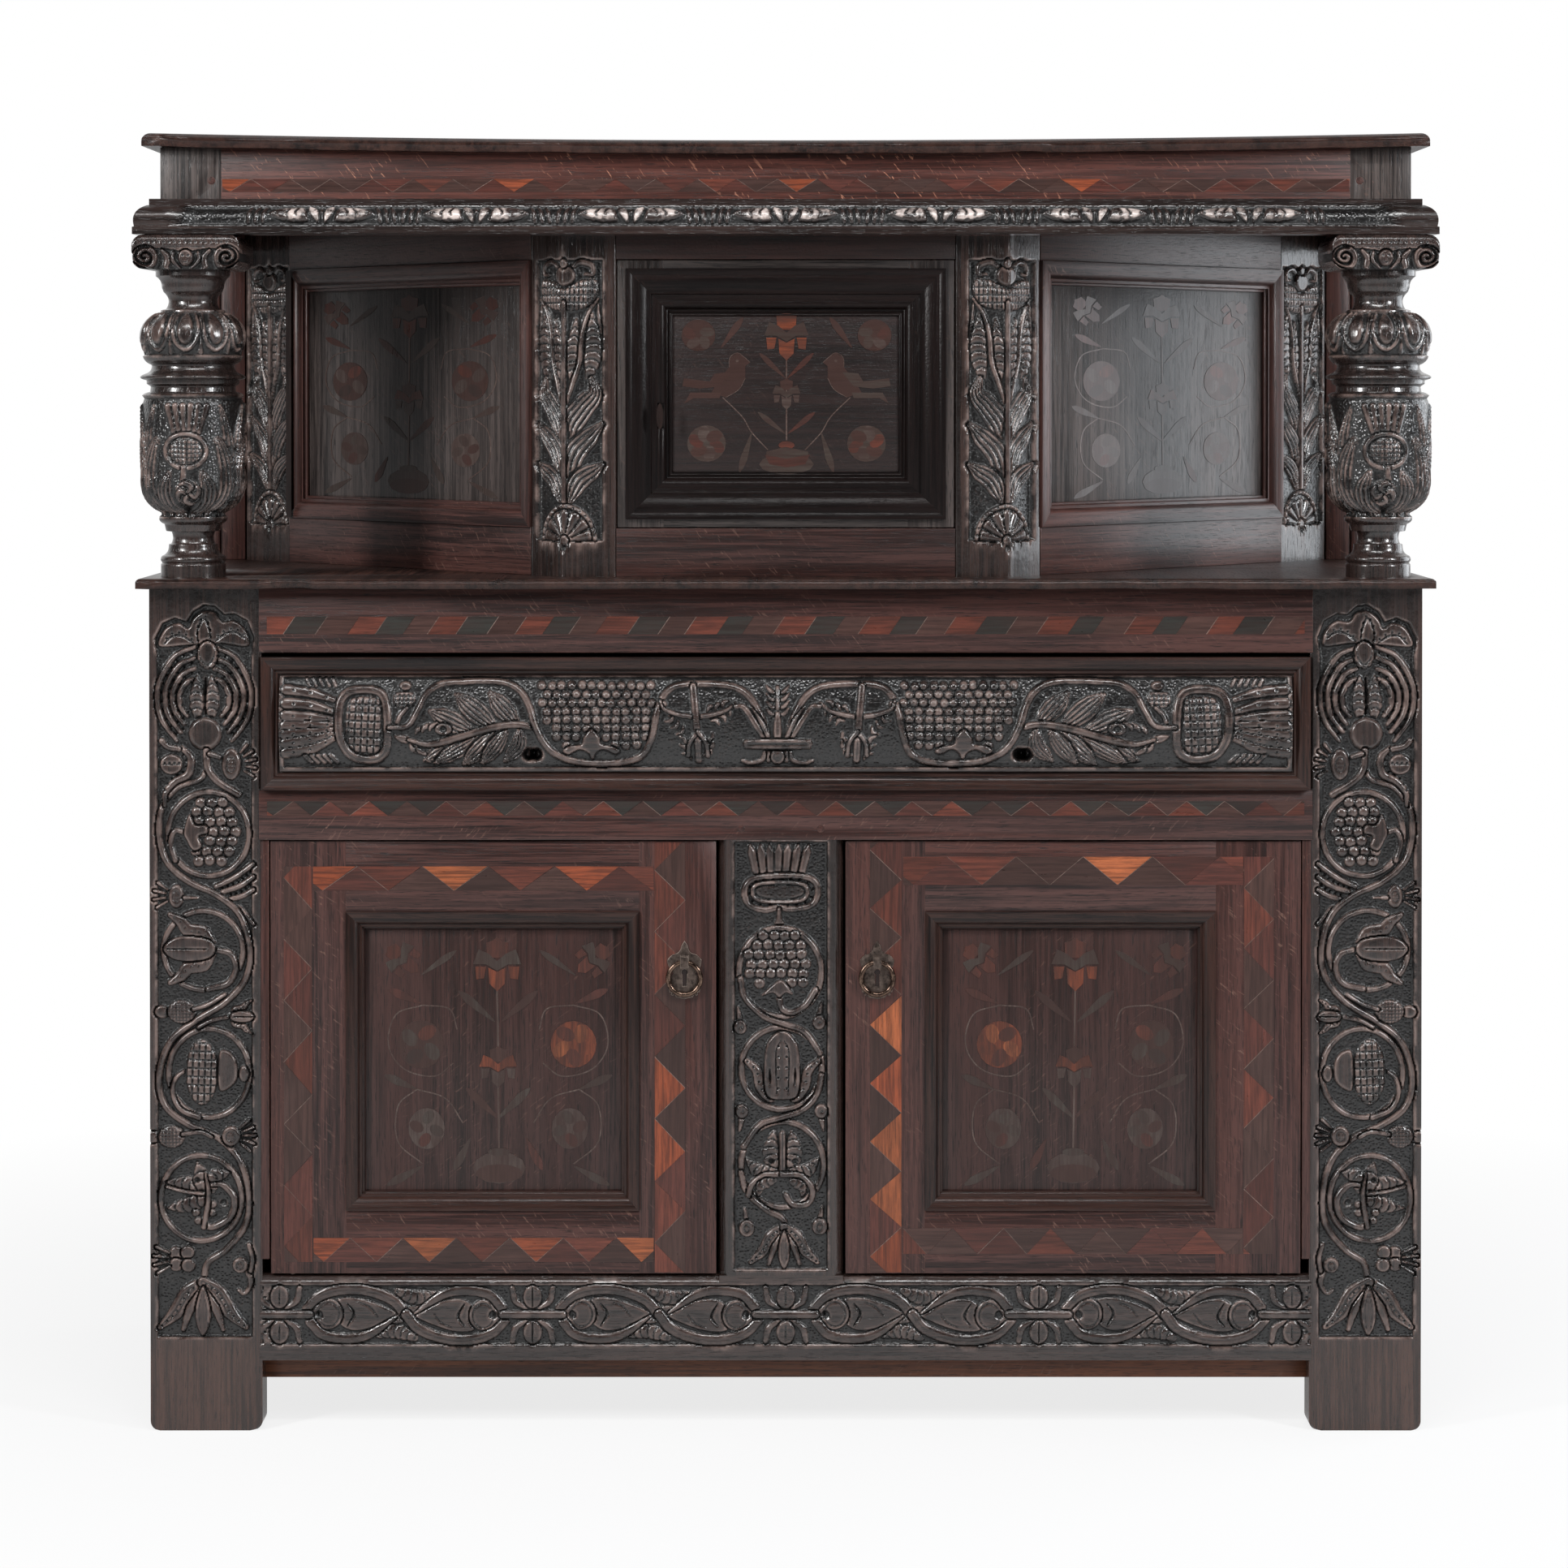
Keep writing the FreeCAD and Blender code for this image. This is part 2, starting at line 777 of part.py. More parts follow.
def pull_parts():
    # Shield plate with its eye and rivets, and the ring, about the ring's axis in the eye
    ring_y = -plate_thick - ring_off_plate - ring_wire_radius
    eye_radius = ring_wire_radius + eye_clearance
    plate = facing(shield_outline(), -plate_thick, 0)
    plate = plate.cut(key_cut(0, -key_below_ring_eye, plate_thick * 4))
    eye_front = ring_y - eye_radius - eye_wall
    eye = span(
        (-eye_wide / 2, eye_front, -eye_radius - eye_wall),
        (eye_wide / 2, -plate_thick, eye_above),
    )
    plate = plate.fuse(eye)
    plate = plate.cut(cylinder(eye_radius, eye_wide * 2, V(-eye_wide, ring_y, 0), V(1, 0, 0)))
    for side in (-1, 1):
        at = V(side * plate_half * 0.7, -plate_thick, -plate_below * 0.86)
        plate = plate.fuse(cylinder(rivet_radius, rivet_high, at, V(0, -1, 0)))
    ring = Part.makeTorus(ring_radius, ring_wire_radius, V(0, ring_y, -ring_radius), V(0, 1, 0))
    return plate, ring


def build_lower_door(side, hinge_stile, lock_stile):
    # side is -1 for the left door and 1 for the right one, which is built mirrored
    name = "left" if side < 0 else "right"
    hinge_x = stile_inner - strip_wide - door_hinge_gap
    lock_x = muntin_width / 2 + side * muntin_offset + door_lock_gap
    wide = hinge_x - lock_x
    low_z = door_opening_z + door_height_gap
    high = door_opening_high - door_height_gap - door_height_gap

    frame = door_frame(wide, high, door_thick, hinge_stile, lock_stile, door_bottom_rail, door_top_rail)
    inner_wide = wide - hinge_stile - lock_stile
    inner_high = high - door_bottom_rail - door_top_rail
    panel_back = door_panel_set_back + panel_thick
    panel = span(
        (hinge_stile - groove_deep, door_panel_set_back, door_bottom_rail - groove_deep),
        (wide - lock_stile + groove_deep, panel_back, high - door_top_rail + groove_deep),
    )
    mouldings = moulding_frame(
        inner_wide,
        inner_high,
        stepped_profile(door_moulding_wide, -door_panel_set_back, door_moulding_proud),
    )
    mouldings = [moved(piece, hinge_stile, 0, door_bottom_rail) for piece in mouldings]
    pins = door_pins(high, pin_in_from_edge, pin_behind_face, door_height_gap)
    plate, ring = pull_parts()
    pull_x = wide - pull_from_edge
    plate = moved(plate, pull_x, 0, pull_up)
    ring = moved(ring, pull_x, 0, pull_up)
    key_z = pull_up - key_below_ring_eye
    case, bolt = lock_parts(wide, door_thick, key_z - key_slot_long / 2, rail_thick - door_set_back)
    cuts = [panel] + pins + [key_cut(pull_x, key_z, door_thick * 4)]
    frame = [piece.cut(cuts) for piece in frame]

    def place(shape):
        # The left door's X runs from its hinge edge to the right
        if side > 0:
            shape = mirrored(shape)
        return moved(shape, side * hinge_x, door_set_back, low_z)

    for node, solids in (
        ("door_frame", frame),
        ("door_panel", [panel]),
        ("door_moulding", mouldings),
        ("door_pins", pins),
        ("pull_plate", [plate]),
        ("pull_ring", [ring]),
        ("lock_case", [case]),
        ("lock_bolt", [bolt]),
    ):
        save(name + "_" + node, [place(solid) for solid in solids])


def build_upper_door():
    half = centre_half - post_front_wide - upper_door_gap
    wide = half + half
    high = upper_opening_high - upper_door_gap - upper_door_gap
    low_z = upper_opening_z + upper_door_gap
    front_y = upper_front_y + upper_door_set_back
    sight = upper_frame_wide
    frame = door_frame(wide, high, door_thick, sight, sight, sight, sight)
    panel = span(
        (sight - groove_deep, upper_panel_set_back, sight - groove_deep),
        (wide - sight + groove_deep, upper_panel_set_back + panel_thick, high - sight + groove_deep),
    )
    profile = upper_door_profile(sight - upper_moulding_in)
    mouldings = moulding_frame(
        wide - upper_moulding_in - upper_moulding_in,
        high - upper_moulding_in - upper_moulding_in,
        profile,
    )
    mouldings = [moved(piece, upper_moulding_in, 0, upper_moulding_in) for piece in mouldings]
    pins = door_pins(high, upper_pin_in, upper_pin_behind, upper_door_gap)
    key = span(
        (wide - upper_key_in - upper_key_wide / 2, -door_thick, upper_key_up - upper_key_high / 2),
        (wide - upper_key_in + upper_key_wide / 2, door_thick * 2, upper_key_up + upper_key_high / 2),
    )
    case, bolt = lock_parts(wide, door_thick, upper_key_up, upper_thick - upper_door_set_back)
    frame = [piece.cut([panel, key] + pins) for piece in frame]
    mouldings = [piece.cut(key) for piece in mouldings]

    def place(shape):
        return moved(mirrored(shape), half, front_y, low_z)

    save("upper_door_frame", [place(piece) for piece in frame])
    save("upper_door_panel", [place(panel)])
    save("upper_door_moulding", [place(piece) for piece in mouldings])
    save("upper_door_pins", [place(pin) for pin in pins])
    save("upper_lock_case", [place(case)])
    save("upper_lock_bolt", [place(bolt)])


def upper_door_profile(base_wide):
    # The broad moulding: fillet, ogee, step, hollow and two beads, its inner part on the panel
    wide = upper_moulding_wide
    proud = upper_moulding_proud
    drop = -upper_panel_set_back
    return [
        (0, 0),
        (base_wide, 0),
        (base_wide, drop),
        (wide, drop),
        (wide, drop * 0.5),
        (wide * 0.93, drop * 0.5, 0.4),
        (wide * 0.86, drop * 0.5, 0.4),
        (wide * 0.84, proud * 0.1),
        (wide * 0.7, proud * 0.4, -0.2),
        (wide * 0.56, proud * 0.45),
        (wide * 0.54, proud * 0.75),
        (wide * 0.4, proud * 0.85, 0.1),
        (wide * 0.14, proud * 0.8, -0.1),
        (wide * 0.1, proud),
        (0, proud),
    ]


# Upper stage

def canted_place(shape):
    # From the canted wall's own frame, X along the wall from its arris, to its place on the right
    shape = shape.copy()
    shape.rotate(V(), UP, canted_angle)
    return moved(shape, centre_half, upper_front_y, 0)


def front_post():
    along = V(math.cos(math.radians(canted_angle)), math.sin(math.radians(canted_angle)), 0)
    inward = V(-along.y, along.x, 0)
    arris = V(centre_half, upper_front_y, 0)
    end = arris + along * post_canted_wide
    back = end + inward * upper_thick
    reach = (upper_front_y + upper_thick - back.y) / along.y
    corner = back + along * reach
    inner = centre_half - post_front_wide
    outline = [
        (inner, upper_front_y),
        (arris.x, arris.y),
        (end.x, end.y),
        (back.x, back.y),
        (corner.x, corner.y),
        (inner, upper_front_y + upper_thick),
    ]
    return plan(outline, shelf_z, top_underside)


def build_upper_stage():
    inner = centre_half - post_front_wide
    rails = []
    canted_rails = []
    rear_u = canted_long - rear_stile_wide
    for low, high in ((shelf_z, upper_opening_z), (upper_opening_top, top_underside)):
        rails.append(bar((-inner, upper_front_y, low), (inner, upper_front_y + upper_thick, high), 0, 1))
        canted_rails.append(bar((post_canted_wide, 0, low), (rear_u, upper_thick, high), 0, 1))
    panel = span(
        (post_canted_wide - groove_deep, door_panel_set_back, upper_opening_z - groove_deep),
        (rear_u + groove_deep, door_panel_set_back + panel_thick, upper_opening_top + groove_deep),
    )
    mouldings = moulding_frame(
        rear_u - post_canted_wide,
        upper_opening_high,
        stepped_profile(canted_moulding_wide, -door_panel_set_back, canted_moulding_proud),
    )
    mouldings = [moved(piece, post_canted_wide, 0, upper_opening_z) for piece in mouldings]
    rear = span((rear_u, 0, shelf_z), (canted_long + upper_thick * 2, upper_thick, top_underside))
    rear = rear.cut(canted_rails + [panel])
    back_limit = span((0, 0, shelf_z), (rear_post_inner, upper_back_y, top_underside))
    rear = canted_place(rear).common(back_limit)

    post = front_post().cut(rails + [canted_place(piece) for piece in canted_rails + [panel]])
    pin_x = inner - upper_door_gap - upper_pin_in
    pin_y = upper_front_y + upper_door_set_back + upper_pin_behind
    sockets = pin_sockets([(pin_x, pin_y)], upper_opening_z, upper_opening_top)
    save("upper_front_posts", both(post))
    save("upper_rear_stiles", both(rear))
    save("upper_front_rails", [rail.cut(sockets) for rail in rails])
    cut_rails = [canted_place(rail.cut(panel)) for rail in canted_rails]
    save("canted_rails", [piece for rail in cut_rails for piece in both(rail)])
    save("canted_panels", both(canted_place(panel)))
    save("canted_mouldings", [piece for part in mouldings for piece in both(canted_place(part))])

    rear_post = span((rear_post_inner, rear_post_y, shelf_z), (rear_post_outer, case_depth, top_underside))
    groove_x = rear_post_outer - rear_post_groove_in
    groove = span(
        (groove_x - rear_post_groove / 2, rear_post_y, shelf_z),
        (groove_x + rear_post_groove / 2, rear_post_y + rear_post_groove, top_underside),
    )
    save("upper_rear_posts", both(rear_post.cut(groove)))
    low = (-rear_post_inner, upper_back_y, shelf_z)
    high = (rear_post_inner, case_depth, top_underside)
    save("upper_back_boards", split_boards(low, high, upper_back_board_count))


# Columns and capitals

# Turned outline of a column from its base up: height and radius as shares of the column's
# height and greatest radius, and the bulge of the edge that arrives there as a share of its length
column_turning_shares = (
    (0.0, 0.597, None),
    (0.042, 0.597, None),
    (0.047, 0.568, None),
    (0.069, 0.575, -0.25),
    (0.096, 0.455, 0.16),
    (0.107, 0.45, None),
    (0.109, 0.405, None),
    (0.148, 0.4, 0.12),
    (0.15, 0.5, None),
    (0.173, 0.53, None),
    (0.207, 0.6, -0.3),
    (0.33, 0.985, -0.17),
    (0.45, 1.0, None),
    (0.568, 0.995, None),
    (0.604, 0.79, -0.2),
    (0.622, 0.775, None),
    (0.63, 0.85, None),
    (0.642, 0.855, None),
    (0.664, 0.865, -0.9),
    (0.692, 0.76, 0.2),
    (0.732, 0.937, -0.16),
    (0.872, 0.555, -0.24),
    (0.874, 0.495, None),
    (0.93, 0.54, 0.22),
    (0.946, 0.575, None),
    (0.981, 0.685, 0.15),
    (1.0, 0.685, None),
)


def column():
    edges = []
    last = V(0, 0, 0)
    points = [(share[0] * column_high, share[1] * column_radius, share[2]) for share in column_turning_shares]
    for height, radius, bulge in points:
        end = V(radius, 0, height)
        if bulge is None:
            edges.append(Part.LineSegment(last, end).toShape())
        else:
            chord = end - last
            side = V(-chord.z, 0, chord.x) * bulge
            edges.append(Part.Arc(last, (last + end) * 0.5 + side, end).toShape())
        last = end
    top = V(0, 0, column_high)
    edges.append(Part.LineSegment(last, top).toShape())
    edges.append(Part.LineSegment(top, V()).toShape())
    solid = Part.Face(Part.Wire(edges)).revolve(V(), UP, 360)
    for z in (-spigot_long, column_high):
        solid = solid.fuse(cylinder(spigot_radius, spigot_long, V(0, 0, z), UP))
    return moved(solid, column_x, column_y, shelf_z)


def capital():
    half = capital_wide / 2
    front = -capital_deep / 2
    back = capital_deep / 2
    slab = span((-half, front, capital_high - abacus_high), (half, back, capital_high))
    core = span((-capital_core_half, front, 0), (capital_core_half, back, capital_high))
    solid = slab.fuse(core)
    for side in (-1, 1):
        at = V(side * (half - volute_radius), front, volute_radius)
        solid = solid.fuse(cylinder(volute_radius, capital_deep, at, V(0, 1, 0)))
        web = span(
            (min(side * capital_core_half, side * (half - volute_radius)), front, volute_radius),
            (max(side * capital_core_half, side * (half - volute_radius)), back, capital_high),
        )
        solid = solid.fuse(web)
    solid = solid.cut(cylinder(spigot_radius + spigot_clearance, spigot_long, V(), UP))
    return moved(solid, column_x, column_y, capital_z)


def build_columns():
    right = column()
    save("column_right", [right])
    save("column_left", [mirrored(right)])
    save("column_capitals", both(capital()))


# Frieze and top

def build_frieze():
    block_in = frieze_half - corner_block_wide
    tongue_end = block_in + frieze_tongue
    front = span((-tongue_end, 0, frieze_z), (tongue_end, frieze_thick, top_underside))
    side = span(
        (frieze_half - frieze_side_thick, corner_block_deep - frieze_tongue, frieze_z),
        (frieze_half, rear_post_y, top_underside),
    )
    # The tongues of the boards are thinner than the boards and sit in grooves of the corner blocks
    front_shoulder = span((block_in, 0, frieze_z), (frieze_half, frieze_thick / 2, top_underside))
    side_shoulder = span(
        (frieze_half - frieze_side_thick / 2, 0, frieze_z),
        (frieze_half, corner_block_deep, top_underside),
    )
    front = front.cut(both(front_shoulder))
    side = side.cut(side_shoulder)
    peg = cylinder(
        peg_radius,
        frieze_thick,
        V(block_in + frieze_peg_in, 0, frieze_z + frieze_peg_up),
        V(0, 1, 0),
    )
    block = span((block_in, 0, frieze_z), (frieze_half, corner_block_deep, top_underside))
    block = block.cut([front, side, peg])
    front = front.cut(both(peg))
    save("frieze_boards", [front] + both(side))
    save("frieze_corner_blocks", both(block))
    return both(peg)


def frieze_profile():
    # Bottom fillet, carved ovolo and top fillet, as (across, height) from the outer edge inwards
    out = frieze_moulding_out
    high = frieze_moulding_high
    return [
        (out, 0),
        (out, high),
        (out * 0.6, high),
        (out * 0.6, high * 0.82),
        (out * 0.53, high * 0.82),
        (out * 0.07, high * 0.22, 0.22),
        (0, high * 0.2),
        (0, 0),
    ]


def build_frieze_moulding():
    out = frieze_moulding_out
    long = frieze_half + frieze_half + out + out
    front = member(frieze_profile(), long)
    front.translate(V(-frieze_half - out, -out, frieze_z))
    side = member(frieze_profile(), rear_post_y + out, True, False)
    side.rotate(V(), UP, 90)
    side.translate(V(frieze_half + out, -out, frieze_z))
    save("frieze_moulding", [front] + both(side))


def build_top():
    top_z = top_underside + top_thick
    half = frieze_half + top_over
    radius = min(top_edge_round, top_thick * 0.8)
    split = front_board_deep
    front = span((-half, -top_over, top_underside), (half, split - board_gap, top_z))
    front = edge_rounded(front, radius, -half, half, -top_over, top_z)
    rear = span((-half, split, top_underside), (half, case_depth, top_z))
    rear = edge_rounded(rear, radius, -half, half, None, top_z)
    save("top_boards", [front, rear])


pegs = build_lower_case()
build_shelf()
build_drawer()
build_lower_door(-1, left_hinge_stile, left_lock_stile)
build_lower_door(1, right_hinge_stile, right_lock_stile)
build_upper_stage()
build_upper_door()
build_columns()
pegs += build_frieze()
build_frieze_moulding()
build_top()
save("joint_pegs", pegs)
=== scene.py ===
import json
import math

import bpy
import numpy as np
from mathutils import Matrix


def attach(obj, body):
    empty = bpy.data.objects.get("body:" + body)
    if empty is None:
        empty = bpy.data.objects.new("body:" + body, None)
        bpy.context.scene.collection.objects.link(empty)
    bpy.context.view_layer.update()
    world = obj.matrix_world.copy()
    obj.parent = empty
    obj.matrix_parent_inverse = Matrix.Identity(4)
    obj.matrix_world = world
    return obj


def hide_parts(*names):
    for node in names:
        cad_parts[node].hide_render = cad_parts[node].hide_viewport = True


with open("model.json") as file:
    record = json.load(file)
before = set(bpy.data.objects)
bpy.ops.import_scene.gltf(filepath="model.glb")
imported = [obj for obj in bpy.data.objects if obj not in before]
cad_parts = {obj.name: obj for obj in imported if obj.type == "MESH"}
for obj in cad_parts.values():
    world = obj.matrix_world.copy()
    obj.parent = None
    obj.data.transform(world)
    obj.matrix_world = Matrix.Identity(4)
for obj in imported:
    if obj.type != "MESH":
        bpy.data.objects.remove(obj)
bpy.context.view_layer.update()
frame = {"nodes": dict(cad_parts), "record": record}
cadNodes = frame["nodes"]
bodyOf = {node: body for body, group in frame["record"]["behaviour"]["bodies"].items() for node in group}
slotOf = {part["node"]: part["material_slot"] for part in frame["record"]["subparts"]}
rowShift = 0.24315  # the front stiles' faces stand this far in front of the row's middle
friezeLow = 1.477  # the underside of the moulding below the frieze

# A piece's drawings are in mm, x from the middle, y back from the front stiles' faces, z up
def toRow(points):
    return np.asarray(points, float).reshape(-1, 3) / 1000 - np.array([0, rowShift, 0])


def clearSelection():
    if bpy.context.object and bpy.context.object.mode != "OBJECT":
        bpy.ops.object.mode_set(mode="OBJECT")
    bpy.ops.object.select_all(action="DESELECT")


def makeActive(piece):
    clearSelection()
    piece.select_set(True)
    bpy.context.view_layer.objects.active = piece


def editMesh(piece, chosen, kind, *steps):  # works on the chosen vertices or edges in edit mode
    makeActive(piece)
    bpy.ops.object.mode_set(mode="EDIT")
    bpy.ops.mesh.select_mode(type=kind)
    bpy.ops.mesh.select_all(action="DESELECT")
    bpy.ops.object.mode_set(mode="OBJECT")
    (piece.data.edges if kind == "EDGE" else piece.data.vertices).foreach_set("select", chosen)
    bpy.ops.object.mode_set(mode="EDIT")
    for step in steps:
        step()
    bpy.ops.object.mode_set(mode="OBJECT")


def coordinates(piece):
    flat = np.empty(len(piece.data.vertices) * 3, np.float32)
    piece.data.vertices.foreach_get("co", flat)
    return flat.reshape(-1, 3).astype(float)


def setCoordinates(piece, points):
    piece.data.vertices.foreach_set("co", np.asarray(points, np.float32).ravel())
    piece.data.update()


def setAttribute(piece, name, values, kind="FLOAT"):
    layer = piece.data.attributes.get(name) or piece.data.attributes.new(name, kind, "POINT")
    layer.data.foreach_set("vector" if kind == "FLOAT_VECTOR" else "value", np.asarray(values, np.float32).ravel())


def getAttribute(piece, name):
    values = np.empty(len(piece.data.vertices), np.float32)
    piece.data.attributes[name].data.foreach_get("value", values)
    return np.rint(values).astype(int)


def edgePairs(piece):
    pairs = np.empty(len(piece.data.edges) * 2, np.int32)
    piece.data.edges.foreach_get("vertices", pairs)
    return pairs.reshape(-1, 2)


def boardLabels(piece):  # one number for each separate board of a piece
    pairs = edgePairs(piece)
    labels = np.arange(len(piece.data.vertices))
    while True:
        low = np.minimum(labels[pairs[:, 0]], labels[pairs[:, 1]])
        before = labels.copy()
        np.minimum.at(labels, pairs[:, 0], low)
        np.minimum.at(labels, pairs[:, 1], low)
        labels = labels[labels]
        if (labels == before).all():
            return labels


def grainBoards(piece, grain="long", seed=0):
    # Each board gets its own run of grain along its length and its own tone; a piece that has no wear or relief marks
    # gets plain ones
    points = coordinates(piece)
    labels = boardLabels(piece)
    along, tone = np.zeros_like(points), np.zeros(len(points))
    for label in np.unique(labels):
        own = labels == label
        board = points[own]
        middle = (board.min(0) + board.max(0)) / 2
        spread, axes = np.linalg.eigh(np.cov((board - middle).T) + np.eye(3) * 1e-12)
        normal = axes[:, 0]
        if abs(normal[2]) > 0.9:
            normal = np.array([0, 0, 1.0])
            sides = np.array([[1.0, 0, 0], [0, 1.0, 0]])
        else:
            normal = np.array([normal[0], normal[1], 0])
            flat = np.linalg.norm(normal)
            normal = normal / flat if flat > 0.1 else np.array([0, 1.0, 0])
            sides = np.array([[0, 0, 1.0], [normal[1], -normal[0], 0]])
        longest = int(np.argmax(np.ptp(board @ sides.T, axis=0)))
        first = {"upright": 0, "across": 1}.get(grain, longest)
        turn = np.array([sides[first], sides[1 - first], normal])
        draw = np.random.default_rng([seed] + [int(abs(round(v * 50))) for v in middle])
        along[own] = (board - middle) @ turn.T + draw.uniform(0, 40, 3)
        tone[own] = draw.uniform(0, 1)
    setAttribute(piece, "grain", along, "FLOAT_VECTOR")
    setAttribute(piece, "tone", tone)
    for name, value in (("wearAndHighlight", 0), ("reliefAndShade", 1)):
        if name not in piece.data.attributes:
            setAttribute(piece, name, np.full(len(points), value))


def smooth(piece, angle=35):
    makeActive(piece)
    bpy.ops.object.shade_smooth_by_angle(angle=math.radians(angle))


def finishPiece(piece, body, material, nodes=()):
    piece.data.materials.clear()
    piece.data.materials.append(material)
    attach(piece, body)
    if nodes:
        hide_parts(*nodes)
    return piece


def ownBoards(node, name, keep=lambda size: True):
    # A copy of a node's boards, each welded to itself alone: its boards follow one another in the mesh, and one
    # ends where its last open edge closes. They are moved well apart while they are welded
    piece = bpy.data.objects.new(name, cadNodes[node].data.copy())
    bpy.context.collection.objects.link(piece)
    points = coordinates(piece)
    spots = [tuple(spot) for spot in np.rint(points * 100000).astype(int)]
    board, openEdges, count = np.zeros(len(points)), set(), 0
    for face in piece.data.polygons:
        ring = [spots[corner] for corner in face.vertices]
        for a, b in zip(ring, ring[1:] + ring[:1]):
            if a != b:
                openEdges ^= {(min(a, b), max(a, b))}
        board[list(face.vertices)] = count
        count += not openEdges
    setAttribute(piece, "board", board)
    setCoordinates(piece, points + np.outer(board, (0, 0, 4.0)))
    dropped = [own for own in range(count) if not keep(np.ptp(points[board == own], axis=0))]
    editMesh(piece, np.isin(board, dropped), "VERT", lambda: bpy.ops.mesh.delete(type="VERT"),
        lambda: bpy.ops.mesh.select_all(action="SELECT"),
        lambda: bpy.ops.mesh.remove_doubles(threshold=0.00002),
        lambda: bpy.ops.mesh.dissolve_limited(angle_limit=math.radians(0.6)))
    return piece


def backTogether(piece):
    setCoordinates(piece, coordinates(piece) - np.outer(getAttribute(piece, "board"), (0, 0, 4.0)))
    piece.data.attributes.remove(piece.data.attributes["board"])


def dressNode(node, material, edge, grain="long", shaded=0, paintedShadeDim=1.0):
    # A copy of a plain piece with its arrises eased and its boards told apart; under the frieze it is darkened with
    # painted shade, deepest right under the frieze and over the whole piece by a given share
    piece = ownBoards(node, node + "_worn")
    makeActive(piece)
    eased = piece.modifiers.new("eased", "BEVEL")
    eased.width = edge / 1000
    eased.segments = 2
    eased.limit_method = "ANGLE"
    eased.angle_limit = math.radians(40)
    eased.use_clamp_overlap = True
    piece.data.materials.clear()
    piece.data.materials.append(material)
    piece.data.materials.append(material)
    eased.material = 1
    bpy.ops.object.modifier_apply(modifier="eased")
    # Only what the bevel added is worn, and of that only what no flat face shares
    worn = np.ones(len(piece.data.vertices))
    for face in piece.data.polygons:
        if face.material_index == 0:
            worn[list(face.vertices)] = 0
        face.material_index = 0
    setAttribute(piece, "wearAndHighlight", worn)
    backTogether(piece)
    # Painted shade under the frieze, carried by the same mark that tells the carving's hollows
    if shaded:
        setAttribute(piece, "reliefAndShade", np.clip((friezeLow - coordinates(piece)[:, 2]) / shaded, 0.1, 1) * paintedShadeDim)
    grainBoards(piece, grain)
    smooth(piece)
    return finishPiece(piece, bodyOf[node], material, (node,))


def mouldedBoards(node, material, width, seed, sag=0.0):
    # Boards with a hollow worked along their front and ends, an edge that wanders with wear, and a sag
    piece = ownBoards(node, node + "_worn")
    points, links = coordinates(piece), edgePairs(piece)
    front, ends = points[:, 1].min(), np.abs(points[:, 0]).max()
    a, b = points[links[:, 0]], points[links[:, 1]]
    long = np.abs(a - b)[:, 0] > 0.3
    if not sag:
        long &= np.maximum(a[:, 1], b[:, 1]) < front + 0.001
    editMesh(piece, long, "EDGE", lambda: bpy.ops.mesh.subdivide(number_cuts=119))
    backTogether(piece)
    points, links = coordinates(piece), edgePairs(piece)
    upper, atFront = points[:, 2] > points[:, 2].max() - 0.001, points[:, 1] < front + 0.001
    atEnd = np.abs(points[:, 0]) > ends - 0.001
    weights = ((upper & atFront)[links].all(1) | (upper & atEnd)[links].all(1)).astype(np.float32)
    piece.data.attributes.new("bevel_weight_edge", "FLOAT", "EDGE").data.foreach_set("value", weights)
    along = points[:, 0] * 1000
    worn = np.abs(waves(along, 0, seed, 150, 0.6)) + np.abs(waves(along, 0, seed + 1, 25, 0.25))
    bitten = np.clip(waves(along, 0, seed + 2, 90, 2.2) - 1.3, 0, 2.2)
    points[:, 1] += np.where(atFront, worn, 0) / 1000
    points[:, 2] += np.where(atFront & ~upper, worn + bitten, 0) / 1000
    points[:, 2] -= sag * (1 - (points[:, 0] / ends) ** 2)
    setCoordinates(piece, points)
    hollow = piece.modifiers.new("hollow", "BEVEL")
    hollow.width = width
    hollow.segments = 6
    hollow.profile = 0.3
    hollow.limit_method = "WEIGHT"
    bpy.ops.object.modifier_apply(modifier="hollow")
    points = coordinates(piece)
    inside = np.minimum(points[:, 1] - front, ends - np.abs(points[:, 0]))
    setAttribute(piece, "wearAndHighlight", 0.2 * np.clip(1 - inside / width / 0.5, 0, 1))
    grainBoards(piece, "across")
    smooth(piece)
    return finishPiece(piece, bodyOf[node], material, (node,))


def faceAt(node, x, z):  # how far back a node's front lies here, in the drawings' mm
    hit, spot, normal, index = cadNodes[node].ray_cast((x / 1000, -1, z / 1000), (0, 1, 0))
    return (spot[1] + rowShift) * 1000 if hit else 0.0


def carvedSolid(name, front, back, bend=None):
    # front is the carved face, back the place behind each of its points; the rim is closed between them
    rows, columns = front.shape[:2]
    clearSelection()
    bpy.ops.mesh.primitive_grid_add(x_subdivisions=columns - 1, y_subdivisions=rows - 1, size=2)
    piece = bpy.context.active_object
    piece.name = name
    start = coordinates(piece)
    column = np.rint((start[:, 0] + 1) / 2 * (columns - 1)).astype(int)
    row = rows - 1 - np.rint((start[:, 1] + 1) / 2 * (rows - 1)).astype(int)
    place = row * columns + column
    setAttribute(piece, "place", place)
    setCoordinates(piece, front.reshape(-1, 3)[place])
    count = len(place)
    editMesh(piece, np.zeros(len(piece.data.edges), bool), "EDGE", bpy.ops.mesh.select_non_manifold,
        bpy.ops.mesh.extrude_region_move)
    places, points = getAttribute(piece, "place"), coordinates(piece)
    points[count:] = back.reshape(-1, 3)[places[count:]]
    setCoordinates(piece, points)
    for part in ((lambda c: c <= bend), (lambda c: c >= bend)) if bend is not None else ((lambda c: c >= 0),):
        chosen = np.zeros(len(points), bool)
        chosen[count:] = part(places[count:] % columns)
        editMesh(piece, chosen, "VERT", bpy.ops.mesh.edge_face_add)
    return piece, places


